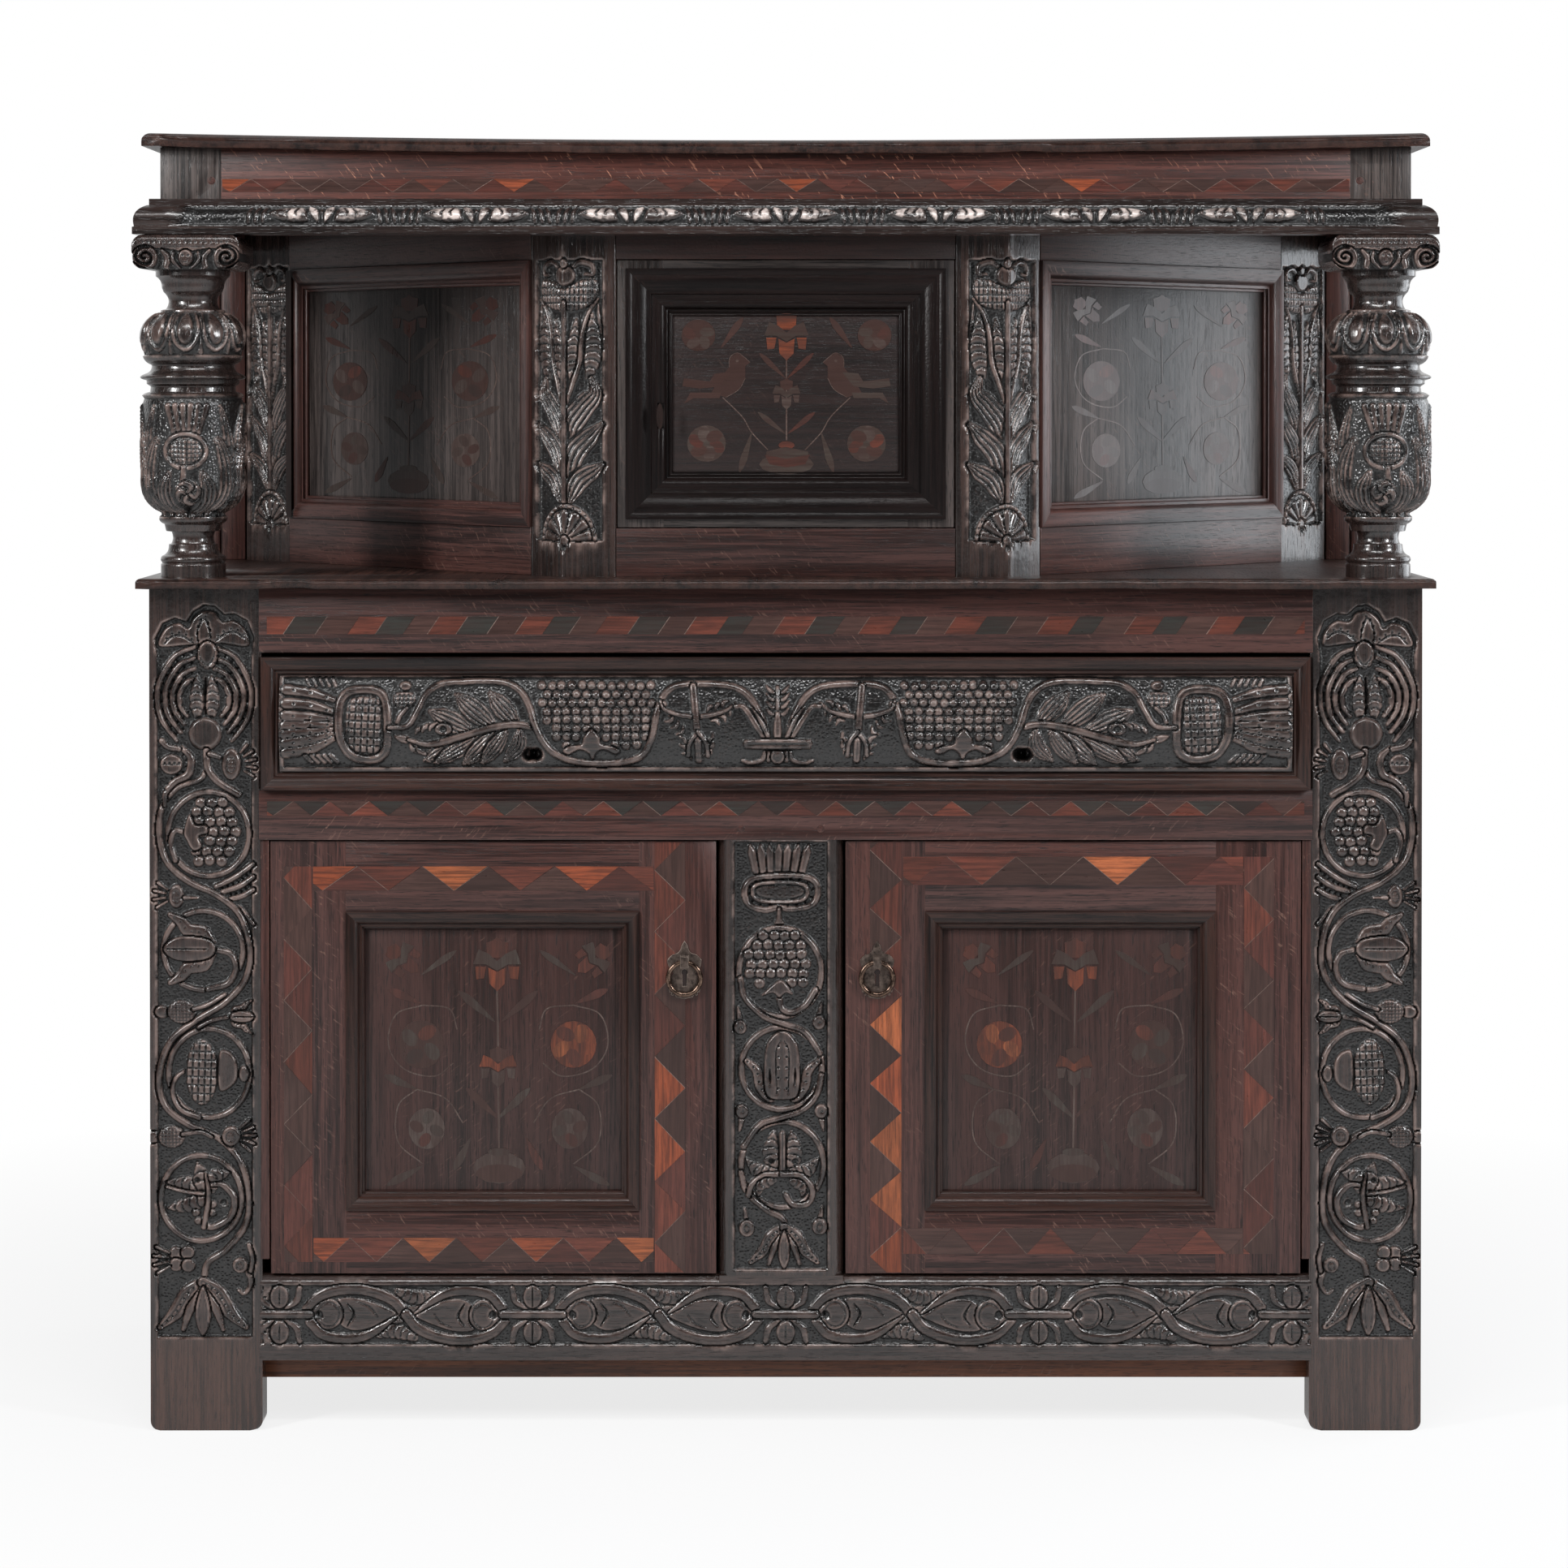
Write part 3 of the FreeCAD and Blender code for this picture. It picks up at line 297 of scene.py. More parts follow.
def softened(h, passes=1):  # a knife's corners are never quite sharp
    for turn in range(passes):
        wide = np.pad(h, 1, mode="edge")
        h = (wide[:-2, 1:-1] + wide[2:, 1:-1] + 2 * wide[1:-1, 1:-1]) / 4
        wide = np.pad(h, 1, mode="edge")
        h = (wide[1:-1, :-2] + wide[1:-1, 2:] + 2 * wide[1:-1, 1:-1]) / 4
    return h


def boardSolid(name, f, x, face, z, thick, flip=False):
    # A carved board between its face and a flat back
    front = toRow(np.stack([x, np.maximum(face, 0) if thick > 25 else face, z], -1)).reshape(x.shape + (3,))
    back = toRow(np.stack([x, np.full_like(x, thick), z], -1)).reshape(x.shape + (3,))
    if flip:
        front, back, f.h = front[:, ::-1], back[:, ::-1], f.h[:, ::-1]
    return carvedSolid(name, front, back)


def crisp(h):  # eases the steps between the grid's points, but keeps the knife's edges
    return 0.6 * h + 0.4 * softened(h)


def reliefAndShadeOf(h, deep):  # how far a place stands out of the carving's ground, with painted shade darkest right under a wall
    return np.clip(h / deep, 0, 1.2) - 1.4 * np.clip((softened(h, 3) - h) / 1.2, 0, 1)


def finishCarving(piece, places, f, body, nodes, grain, seed, material=None, worn=None):
    # The face's height, and what stands out from it, become attributes that the finish reads; besides dirt and wear
    # they carry painted shade in the hollows and painted highlights on the crests
    wearAndHighlight = np.clip((f.h - softened(f.h, 4)) * 0.9, 0, 1) if worn is None else worn
    inFace = np.arange(len(places)) < f.h.size
    setAttribute(piece, "reliefAndShade", np.where(inFace, reliefAndShadeOf(f.h, f.deep).ravel()[places], 1))
    setAttribute(piece, "wearAndHighlight", np.where(inFace, wearAndHighlight.ravel()[places], 0))
    piece.data.attributes.remove(piece.data.attributes["place"])
    grainBoards(piece, grain, seed)
    setAttribute(piece, "tone", np.full(len(places), 0.12))
    smooth(piece, 55)
    finishPiece(piece, body, material or carvedOak, nodes)


def waves(u, v, seed, size, amount):  # slow unevenness of old planed wood
    draw = np.random.default_rng(seed)
    total = np.zeros(np.broadcast(u, v).shape)
    for turn in range(7):
        angle, phase, long = draw.uniform(0, math.tau), draw.uniform(0, math.tau), size * draw.uniform(0.5, 1.8)
        total = total + np.sin((u * math.cos(angle) + v * math.sin(angle)) / long * math.tau + phase)
    return total * amount / 3


def rounding(distance, radius):  # how far a rounded arris falls back at this distance from the edge
    near = np.clip(radius - distance, 0, radius)
    return radius - np.sqrt(np.maximum(radius * radius - near * near, 0))


# Carving tools: u runs to the right over a board's face and v down from its top, in mm

def places(*stretches):  # each stretch is (from, to, step)
    found = []
    for low, high, step in stretches:
        count = max(1, round((high - low) / step))
        found.extend(np.linspace(low, high, count, endpoint=False))
    return np.array(found + [stretches[-1][1]])


def pairs(points):  # points as pairs, from a run of numbers or from pairs
    return np.reshape(np.asarray(points, float), (-1, 2))


def smoothLine(points, closed=False):  # a smooth line through given points
    p = pairs(points)
    if len(p) < 3:
        return p
    p = np.vstack([p[-1], p, p[:2]] if closed else [2 * p[0] - p[1], p, 2 * p[-1] - p[-2]])
    t = np.linspace(0, 1, 6, endpoint=False)[:, None]
    parts = []
    for a, b, c, d in zip(p, p[1:], p[2:], p[3:]):
        parts.append(b + (c - a) * t / 2 + (a - 2.5 * b + 2 * c - d / 2) * t ** 2
            + (1.5 * b - a / 2 - 1.5 * c + d / 2) * t ** 3)
    return np.vstack(parts + [p[-2]])


def turned(points, u, v, angle=0.0, size=1.0):  # points of a small drawing, set down at (u, v)
    c, s = math.cos(math.radians(angle)) * size, math.sin(math.radians(angle)) * size
    return [(u + a * c - b * s, v + a * s + b * c) for a, b in pairs(points)]


def oval(u, v, ru, rv, angle=0.0, count=12):
    ring = [(ru * math.cos(math.tau * k / count), rv * math.sin(math.tau * k / count)) for k in range(count)]
    return turned(ring, u, v, angle)


def tapered(along, taper, width):  # half the width of a shape that tapers along its line
    return np.interp(along, np.linspace(0, 1, len(taper)), taper) * width / 2 + 1e-3


def spaced(line, step, first=0.0):  # points of a line at even steps
    reach = np.concatenate([[0], np.cumsum(np.hypot(*np.diff(line, axis=0).T))])
    at = np.arange(first, reach[-1], step)
    return np.stack([np.interp(at, reach, line[:, 0]), np.interp(at, reach, line[:, 1])], 1)


class Field:
    # A board's face with h, how high the wood stands over the sunk ground. Heights and domes are shares of deep, the
    # carving's depth; cuts are in mm
    def __init__(self, columns, rows, deep):
        self.columns, self.rows, self.deep = columns, rows, deep
        self.u, self.v = np.meshgrid(columns, rows)
        self.h = np.zeros_like(self.u)

    def near(self, line, reach):
        low, high = line.min(0) - reach, line.max(0) + reach
        window = (slice(*np.searchsorted(self.rows, (low[1], high[1]))),
            slice(*np.searchsorted(self.columns, (low[0], high[0]))))
        u, v = self.u[window], self.v[window]
        gap, along, side = np.full(u.shape, 1e9), np.zeros(u.shape), np.ones(u.shape)
        lengths = np.maximum(np.hypot(*np.diff(line, axis=0).T), 1e-6)
        before = 0.0
        for (au, av), (bu, bv), length in zip(line, line[1:], lengths):
            du, dv = (bu - au) / length, (bv - av) / length
            t = np.clip((u - au) * du + (v - av) * dv, 0, length)
            found = (u - au - t * du) ** 2 + (v - av - t * dv) ** 2
            better = found < gap
            gap = np.where(better, found, gap)
            along = np.where(better, (before + t) / lengths.sum(), along)
            side = np.where(better, np.sign(du * (v - av) - dv * (u - au)), side)
            before += length
        return window, np.sqrt(gap), along, side

    def within(self, outline, smooth, reach=0.0):
        line = smoothLine(outline, True) if smooth else np.vstack([pairs(outline), pairs(outline)[:1]])
        window, gap, *rest = self.near(line, reach)
        u, v = self.u[window], self.v[window]
        inside = np.zeros(u.shape, bool)
        for (au, av), (bu, bv) in zip(line, line[1:]):
            if av != bv:
                inside ^= ((av > v) != (bv > v)) & (u < (bu - au) * (v - av) / (bv - av) + au)
        return window, gap, inside, line

    def raiseTo(self, window, level, near, clear, floor):
        h = self.h[window]
        h = np.where(near < clear, np.minimum(h, floor), h)  # cuts round the new shape first
        self.h[window] = np.where(near < 0, np.maximum(h, level), h)

    def sink(self, outline):  # lowers everything inside the outline from the board's face to the ground
        self.h += self.deep
        window, gap, inside, line = self.within(outline, False)
        self.h[window] = np.where(inside, self.deep * (1 - np.clip(gap / 1.4, 0, 1)), self.h[window])

    def stroke(self, points, width, height, taper=(1, 1), top=0.35, clear=1.0, floor=0.0, veins=(), scales=0,
            cut=1.0, closed=False, flutes=0):
        window, gap, along, side = self.near(smoothLine(points, closed), width / 2 + clear)
        if not gap.size:
            return
        half = tapered(along, taper, width)
        q = gap / half
        top = min(1, top + 0.4)
        level = height * self.deep * (1 - top + top * np.sqrt(np.clip(1 - q * q, 0, 1)))
        for vein in veins:
            level = level - cut * 1.3 * np.exp(-(((side * q - vein) * half / 1.1) ** 2))
        if flutes:
            level = level - cut * (1 - np.abs(np.sin(math.pi * flutes * (side * q + 1) / 2))) ** 0.85
        if scales:
            step = (along * scales + 0.4 * q * q) % 1
            level = level - cut * np.clip(1 - step / 0.5, 0, 1) ** 1.5
        level = level * np.clip((half - gap) / 0.8 + 0.3, 0, 1)
        self.raiseTo(window, level, gap - half, clear, floor)

    def patch(self, outline, height, bevel=2.0, dome=0.0, clear=1.0, floor=0.0, smooth=True):
        window, gap, inside, line = self.within(outline, smooth, clear + 1)
        if not gap.size:
            return
        deep = np.where(inside, gap, -gap)
        level = height * self.deep * (1 - (1 - np.clip(deep / bevel, 0, 1)) ** 2)
        level = level + dome * self.deep * (1 - (1 - np.clip(deep / max(deep.max(), 1e-3), 0, 1)) ** 2)
        self.raiseTo(window, level, -deep, clear, floor)

    def groove(self, points, width, depth, taper=(0.3, 1, 0.3), closed=False):
        window, gap, along, side = self.near(smoothLine(points, closed), width)
        self.h[window] -= 1.4 * depth * np.clip(1.1 - gap / tapered(along, taper, width), 0, 1)

    def punch(self, points, radius=1.3, depth=1.6):
        for u, v in pairs(points):
            window, gap, *rest = self.near(np.array([(u, v), (u, v + 0.01)]), radius * 1.5)
            self.h[window] -= depth * np.clip(1.3 - (gap / radius) ** 2, 0, 1)

    def dotted(self, points, spacing=9.0, closed=False, radius=1.6, depth=3.2):
        self.punch(spaced(smoothLine(points, closed), spacing, spacing / 2), radius, depth)

    def balls(self, centres, radius, base, height):
        for u, v in pairs(centres):
            window, gap, *rest = self.near(np.array([(u, v), (u, v + 0.01)]), radius + 1)
            level = (base * 0.5 + height * 1.25 * np.sqrt(np.clip(1 - (gap / radius) ** 2, 0, 1))) * self.deep
            self.raiseTo(window, level, gap - radius, 0.6, 0.0)

    def bunch(self, u, v, ru, rv, radius, base, height, seed, keepOff=()):
        # Berries in staggered rows that fill an oval, apart from the round places to keep off
        draw = np.random.default_rng(seed)
        for row, down in enumerate(np.arange(-rv + radius, rv - radius / 2, radius * 1.72)):
            half = ru * math.sqrt(max(0, 1 - (down / rv) ** 2))
            for across in np.arange(-half + radius * (0.8 + 0.8 * (row % 2)), half - radius * 0.5, radius * 1.95):
                spot = (u + across + draw.uniform(-0.8, 0.8), v + down + draw.uniform(-0.8, 0.8))
                if all(math.hypot(spot[0] - ou, spot[1] - ov) > reach for ou, ov, reach in keepOff):
                    self.balls(spot, radius, base, height)

    def hatch(self, outline, spacing, depth, angle=0.0, width=0.9, smooth=True):
        # Two crossing sets of cuts inside an outline
        window, gap, inside, line = self.within(outline, smooth)
        mu, mv = line.mean(0)
        c, s = math.cos(math.radians(angle)), math.sin(math.radians(angle))
        u, v = self.u[window] - mu, self.v[window] - mv
        cuts = np.zeros(u.shape)
        for value, pitch in ((u * c + v * s, spacing[0]), (v * c - u * s, spacing[1])):
            off = np.abs((value / pitch) % 1 - 0.5) * pitch
            cuts = np.maximum(cuts, np.clip(1.5 - off / width, 0, 1))
        self.h[window] -= np.where(inside & (gap > 1), depth * 1.3 * cuts, 0)

    def rays(self, u, v, inner, outer, angles, width, height, taper=(0.7, 1), **more):
        for angle in angles:
            self.stroke(turned([inner, 0, outer, 0], u, v, angle), width, height, taper, **more)

    def matted(self, seed, ground=True):  # punch marks over the sunk ground
        draw = np.random.default_rng(seed)
        marks = softened(draw.uniform(-1, 1, self.h.shape)) * 2
        self.h += marks * np.where(ground & (self.h < 0.4), 0.17, 0.03)

    # Motifs that come back in several places

    def daisy(self, u, v, ru, rv, height, rayAngles=(), reach=20.0):
        self.rays(u, v, max(ru, rv) * 0.9, reach, rayAngles, 5.0, height * 0.9, (0.5, 1))
        self.patch(oval(u, v, ru, rv), height * 0.75, 2.5, height * 0.2, 1.4)
        self.groove(oval(u, v, ru * 0.45, rv * 0.45), 2.0, height * self.deep * 0.16, (1, 1), True)
        self.punch([u - 2, v - 2.4, u + 2, v - 2.4, u - 2, v + 2.4, u + 2, v + 2.4], 1.0, 1.0)

    def bud(self, u, v, angle, size, height):  # a small thistle: a hatched cup and a smooth tip
        cup = turned(oval(0, 0, 0.5, 0.42), u, v, angle, size)
        self.patch(turned(oval(-0.66, 0, 0.28, 0.24), u, v, angle, size), height * 0.8, 2.5, 0.6 / self.deep)
        self.patch(cup, height * 0.8, 2.5, height * 0.2)
        self.hatch(cup, (4.2, 4.2), 1.3, angle)

    def tulip(self, u, v, angle, size, height):
        # Seen from the side with its mouth towards -u before it is turned
        for flip in (-1, 1):
            side = turned([0.42, 0.12 * flip, 0.2, 0.36 * flip, -0.12, 0.42 * flip, -0.3, 0.62 * flip, -0.55,
                0.78 * flip], u, v, angle, size)
            self.stroke(side, size * 0.34, height, (0.5, 1, 1, 0.8, 0.4), 0.2)
            self.dotted(side, size * 0.17, radius=1.0)
        body = turned([0.5, 0, 0.35, 0.22, -0.1, 0.3, -0.5, 0.24, -0.72, 0, -0.5, -0.24, -0.1, -0.3, 0.35, -0.22],
            u, v, angle, size)
        self.patch(body, height * 0.9, 2.2, height * 0.1)
        slot = turned([0.3, 0, -0.62, 0], u, v, angle, size)
        self.groove(slot, 2.6, height * self.deep * 0.3, (0.6, 1, 0.4))
        self.dotted(slot, size * 0.14, radius=1.1)

    def fanFlower(self, u, v, angle, size, height):
        # The flower that ends a vine: a pointed middle petal, two narrow ones and two broad ones that sweep aside.
        # It opens towards +v before it is turned
        for flip in (-1, 1):
            broad = turned([0, 0, 0.28 * flip, 0.2, 0.5 * flip, 0.55, 0.78 * flip, 0.82], u, v, angle, size)
            self.stroke(broad, size * 0.3, height, (0.7, 1, 0.9, 0.35), 0.25, veins=(-0.25, 0.25), cut=1.4)
            self.dotted(broad, size * 0.13)
            narrow = turned([0.02 * flip, 0.1, 0.24 * flip, 0.5, 0.36 * flip, 0.86], u, v, angle, size)
            self.stroke(narrow, size * 0.18, height * 0.85, (0.4, 1, 0.5), 0.3)
        middle = [0, 0.06, 0.13, 0.4, 0.13, 0.74, 0, 0.98, -0.13, 0.74, -0.13, 0.4]
        self.patch(turned(middle, u, v, angle, size), height, 2.0, 0.3 / self.deep)
        for flip in (-1, 1):
            cut = [0.02 * flip, 0.2, 0.07 * flip, 0.5, 0.04 * flip, 0.85]
            self.groove(turned(cut, u, v, angle, size), 2, 1.2)

    def feather(self, points, width, height, flutes=4):
        self.stroke(points, width, height, (0.35, 0.85, 1, 0.85, 0.25), 0.35, 1.7, flutes=flutes, cut=4.0)

    def scaledLeaf(self, points, width, height, scales, cut=1.6):
        self.stroke(points, width, height, (0.5, 1, 1, 0.7, 0.2), 0.3, 0.9, scales=scales, cut=cut * 1.5)


def sided(points, flip, middle=0):  # points drawn out to one side of an upright line
    return [(middle + flip * u, v) for u, v in pairs(points)]


def carveStile(f):
    # u from the field's middle line, v down from its top edge
    f.sink([-59, 904, -59, 60, -62, 40, -52, 20, -36, 13, -22, 18, -14, 5, 0, -3, 14, -1, 25, 9, 38, 8, 54, 17, 62,
        38, 59, 60, 59, 904])
    # Crest of three lobes over an open loop
    f.patch([-55, 50, -53, 34, -43, 23, -30, 20, -20, 26, -14, 15, -1, 5, 13, 7, 23, 18, 37, 17, 49, 25, 55, 38, 52,
        50, 20, 46, -20, 48], 0.95, 2.5)
    for line in ([-7, 50, -8, 30, 0, 14, 7, 30, 8, 48], [-49, 46, -40, 37, -27, 36, -13, 45],
            [14, 43, 25, 34, 38, 31, 50, 39]):
        f.groove(line, 4.0, 2.4, (0.5, 1, 0.5))
        f.dotted([(u, v - 3.5) for u, v in pairs(line)], 9)
    # Nested ribbons round a leaf of two gouged halves
    for share in (1.0, 0.79, 0.59, 0.4):
        for flip in (-1, 1):
            bow = [(flip * (12 + (u - 12) * share), 115 + (v - 115) * share)
                for u, v in pairs([12, 50, 37, 62, 55, 92, 58, 116, 52, 141, 34, 166])]
            f.stroke(bow, 7.4, 0.95, (0.7, 1, 1, 1, 0.7), 0.2)
            f.dotted([(u * 0.91, 115 + (v - 115) * 0.93) for u, v in bow], 11)
    for flip in (-1, 1):
        f.scaledLeaf(sided([9, 136, 10, 112, 9, 86], flip), 18, 0.9, 5, 2.2)
    f.groove([1, 88, 1, 134], 4, 4)
    f.patch(oval(4, 60, 13, 18), 0.95, 2)
    f.groove([-6, 46, -5, 62, 4, 72, 12, 62, 13, 46], 3, 1.6)
    f.dotted([-10, 46, -8, 66, 4, 77, 15, 66, 17, 46], 9)
    # The vine winds past four rings
    vine = [3, 200, -6, 214, -34, 224, -53, 250, -56, 285, -45, 318, -18, 341, 16, 357, 44, 382, 56, 425, 50, 460, 24,
        490, -15, 514, -44, 540, -57, 582, -49, 618, -20, 641, 16, 657, 43, 686, 54, 730, 49, 766, 25, 796, 3, 812,
        -3, 838]
    f.stroke([14, 346, 38, 334, 60, 318], 7, 0.85)
    f.stroke([22, 353, 44, 345, 60, 334], 7, 0.85)
    f.stroke([30, 362, 46, 358, 60, 350], 7, 0.85)
    f.stroke([26, 366, 44, 374, 60, 392], 6, 0.85)
    f.dotted([18, 350, 42, 340, 58, 326], 7)
    f.dotted([28, 358, 46, 352, 58, 342], 7)
    for u, v, ru, rv in ((5, 281, 50, 52), (-2, 425, 49, 49), (5, 577, 50, 55), (-5, 732, 50, 53)):
        f.stroke(oval(u, v, ru, rv), 7.5, 0.92, closed=True)
    f.stroke(vine, 8.5, 1, (0.8, 1, 1, 1, 1, 1, 1, 1), 0.4)
    f.patch(oval(1, 157, 22, 22, count=8), 0.9, 7, 0.35)
    f.stroke([2, 178, 4, 200, 16, 216, 42, 232], 9, 0.9)
    # First ring: grapes and a small leaf on its stem
    f.bunch(10, 279, 38, 44, 7.0, 0.35, 0.6, 1, ((-24, 284, 21), (-40, 262, 14)))
    f.stroke([-18, 282, -36, 277, -42, 292, -36, 314], 7, 0.85)
    f.patch([-19, 256, -11, 269, 2, 270, 4, 280, -7, 284, -3, 297, -14, 302, -22, 290, -26, 278], 0.95, 2)
    # Second ring: a tulip lying on its side
    f.stroke([14, 424, 32, 430, 38, 448, 28, 466, 4, 473], 8, 0.9)
    f.tulip(-13, 423, 0, 54, 1)
    # Third ring: a hatched seed head with its cap
    f.stroke([-20, 571, -36, 583, -40, 602, -30, 622, -8, 632], 8, 0.9, (0.6, 1))
    head = oval(-4, 576, 20.5, 41)
    f.patch(head, 0.75, 3, 0.3)
    f.hatch(head, (7.6, 10.4), 2.2, 2, 1.1)
    f.patch([17, 552, 29, 549, 39, 560, 41, 578, 35, 592, 17, 598], 0.9, 3)
    f.patch(oval(48, 578, 7, 11), 0.75, 3)
    # Fourth ring: a gouged leaf and its curl
    f.scaledLeaf([0, 722, -24, 714, -47, 712], 20, 0.9, 5, 2.4)
    f.scaledLeaf([0, 734, -24, 741, -46, 744], 20, 0.9, 5, 2.4)
    f.scaledLeaf([-4, 722, -5, 704, -10, 689], 22, 0.9, 3, 2.4)
    f.scaledLeaf([8, 722, 12, 706, 30, 700], 20, 0.9, 4, 2.4)
    f.stroke([3, 716, 22, 716, 36, 734, 30, 756, 8, 768, -2, 762], 9, 0.9, (0.5, 1, 1, 1, 0.8))
    f.balls([9, 740, 9, 750, -12, 750, -9, 760], 5.0, 0.4, 0.5)
    f.stroke([2, 727, -24, 724, -47, 718], 5, 1)
    f.stroke([0, 700, 4, 730, -2, 768], 7, 0.95, (0.4, 1, 1))
    f.punch([-10, 709, 22, 738], 4.0, 3.5)
    # What fills the corners between the rings
    f.stroke([-29, 174, -17, 187, -20, 207, -36, 216, -48, 230, -49, 246], 10, 0.9, (0.6, 1, 1, 0.9, 0.5), 0.2)
    f.dotted([-29, 180, -23, 190, -26, 204, -42, 214, -50, 230], 8)
    f.patch(oval(-41, 195, 14, 13), 0.85, 2)
    f.groove([-52, 195, -28, 195], 2.6, 1.6)
    f.dotted([-52, 193, -28, 193], 6)
    f.stroke([-53, 166, -46, 173, -32, 176], 8, 0.8)
    f.stroke([18, 186, 6, 182], 7, 0.85)
    f.daisy(33, 195, 12, 20, 1, (-52, -32, -12, 8, 28), 31)
    f.daisy(-35, 358, 10, 15, 1, (150, 172, 194, 216), 28)
    f.stroke([-25, 360, -8, 360], 6, 0.8, (1, 0.4))
    f.bud(-29, 501, 0, 36, 1)
    f.stroke([-14, 498, 4, 492, 24, 480], 6, 0.85)
    f.stroke([32, 507, 8, 512, -8, 520], 6, 0.85)
    f.tulip(43, 507, 180, 26, 1)
    f.bud(-42, 656, 0, 34, 1)
    f.stroke([-28, 653, -6, 650, 8, 656], 6, 0.85)
    f.daisy(32, 655, 12, 13, 1, (-42, -22, -2, 18, 38), 30)
    for u, v in ((-36, 800), (-22, 799), (-36, 814), (-21, 815)):
        f.patch(oval(u, v, 9, 9), 0.9, 2)
    f.rays(-28, 807, 18, 36, (150, 168, 186, 204), 5, 0.8)
    f.punch([-30, 790, -33, 806, -28, 822], 1.6, 1.5)
    f.stroke([43, 815, 53, 824, 56, 838, 48, 850, 41, 846], 9, 0.85, (0.8, 1, 0.7, 0.5))
    f.patch(oval(43, 815, 10, 10), 0.95, 2)
    f.groove(oval(43, 815, 4, 4.5), 2, 1.2, (1, 1), True)
    f.stroke([54, 790, 58, 806, 56, 822], 7, 0.8)
    f.fanFlower(-3, 836, 0, 68, 1)


def carveMuntin(f):
    f.sink([-58, 0, 58, 0, 58, 530, -58, 530])
    for top, low in zip((-38, -25, -14, -2.5, 9, 21.5, 34.5), (-31, -22, -12.5, -3.5, 6, 16, 26.5)):
        f.stroke([(top, 5), (low, 37)], 11, 0.95, (0.35, 0.95, 0.9, 0.85, 0.8), 0.15, 0.3)
    ring = [-45, 62, -37, 48, -12, 43, 20, 43, 40, 48, 46, 63, 38, 79, 14, 84, -3, 82, -20, 85, -39, 79]
    f.stroke(ring, 8, 0.95, closed=True, top=0.25)
    inner = [-35, 62, -28, 53, 0, 51, 26, 53, 33, 62, 26, 73, 0, 75, -28, 73]
    f.patch(oval(-1, 62, 32, 11), 0.3, 3)
    f.stroke(inner, 5, 0.8, closed=True)
    f.dotted([-40, 62, -33, 50, -6, 47, 24, 47, 39, 56, 38, 70, 24, 79, -6, 79, -33, 76], 11, True)
    f.stroke([-2, 84, -2, 96, -2, 108], 9, 0.95, (0.6, 0.8, 2.4))
    for u, v, ru, rv in ((-1, 162, 51, 55), (1, 281, 50, 51), (2, 400, 51, 53)):
        f.stroke(oval(u, v, ru, rv), 8, 0.95, closed=True)
    f.stroke([-50, 170, -44, 194, -22, 216, 4, 226, 30, 236, 48, 262], 8, 1)
    f.stroke([50, 290, 44, 314, 26, 333, 0, 342, -26, 351, -46, 378], 8, 1)
    f.stroke([-49, 410, -42, 434, -18, 456, 2, 467, 7, 482], 8, 1)
    # Grapes on their stem
    f.bunch(-2, 150, 45, 40, 6.8, 0.35, 0.6, 2, ((-2, 186, 17), (-22, 196, 12)))
    f.stroke([-2, 180, 0, 204, 12, 212, 30, 203, 43, 184], 8, 0.9)
    f.patch([-25, 192, -14, 180, -1, 171, 9, 178, 15, 190, 6, 188, -2, 194, -10, 188], 0.95, 2)
    # Upright tulip
    for flip in (-1, 1):
        petal = sided([6, 314, 16, 317, 27, 304, 32, 284, 44, 272], flip, 2)
        f.stroke(petal, 13, 0.95, (0.8, 1, 1, 0.9, 0.6), 0.2)
        f.dotted(petal, 10)
    f.patch([-19, 312, -20, 262, -12, 242, 2, 234, 15, 242, 23, 262, 22, 312, 2, 320], 0.95, 2)
    for flip in (-1, 1):
        f.groove(sided([7, 312, 8, 262, 2, 246], flip, 2), 3.4, 2)
        f.dotted(sided([5, 312, 5, 252], flip, 2), 13)
        f.groove(sided([16, 280, 15, 302], flip, 2), 4, 3.4)
    # Palmette with its curls
    for flip in (-1, 1):
        f.scaledLeaf(sided([5, 404, 14, 388, 11, 360], flip, 2), 22, 0.9, 5, 2.4)
        f.scaledLeaf(sided([8, 410, 30, 408, 44, 393], flip, 2), 19, 0.9, 5, 2.4)
    f.stroke([2, 412, 2, 362], 8, 1, veins=(0,), cut=1.8)
    f.stroke([0, 413, -20, 413, -36, 425, -40, 438], 8, 0.9)
    f.stroke([2, 413, 24, 414, 39, 430, 34, 448, 16, 450, 6, 438], 8, 0.9)
    f.scaledLeaf([-8, 420, -24, 426, -28, 440], 14, 0.7, 4)
    f.scaledLeaf([12, 420, 26, 428, 26, 440], 14, 0.7, 4)
    f.punch([-12, 396, 18, 396], 4.2, 4)
    # Small birds and drops along the sides
    for u, v, tail in ((-50, 230, -1), (47, 224, -1), (-48, 334, 1), (50, 334, 1), (-42, 479, -1), (48, 477, -1)):
        wide = 10 if v > 400 else 8.5
        f.stroke([(u, v + tail * 8), (u + (3 if u > 0 else -3), v + tail * 24)], 9, 0.8, (1, 0.4))
        f.patch(oval(u, v, wide, wide * 1.1), 0.9, 2)
        if v > 400:
            f.groove(oval(u, v, 3, 4.5), 2, 1.4, (1, 1), True)
        else:
            f.punch([(u + 1, v)], 1.6, 2)
    f.fanFlower(4, 478, 0, 53, 1)


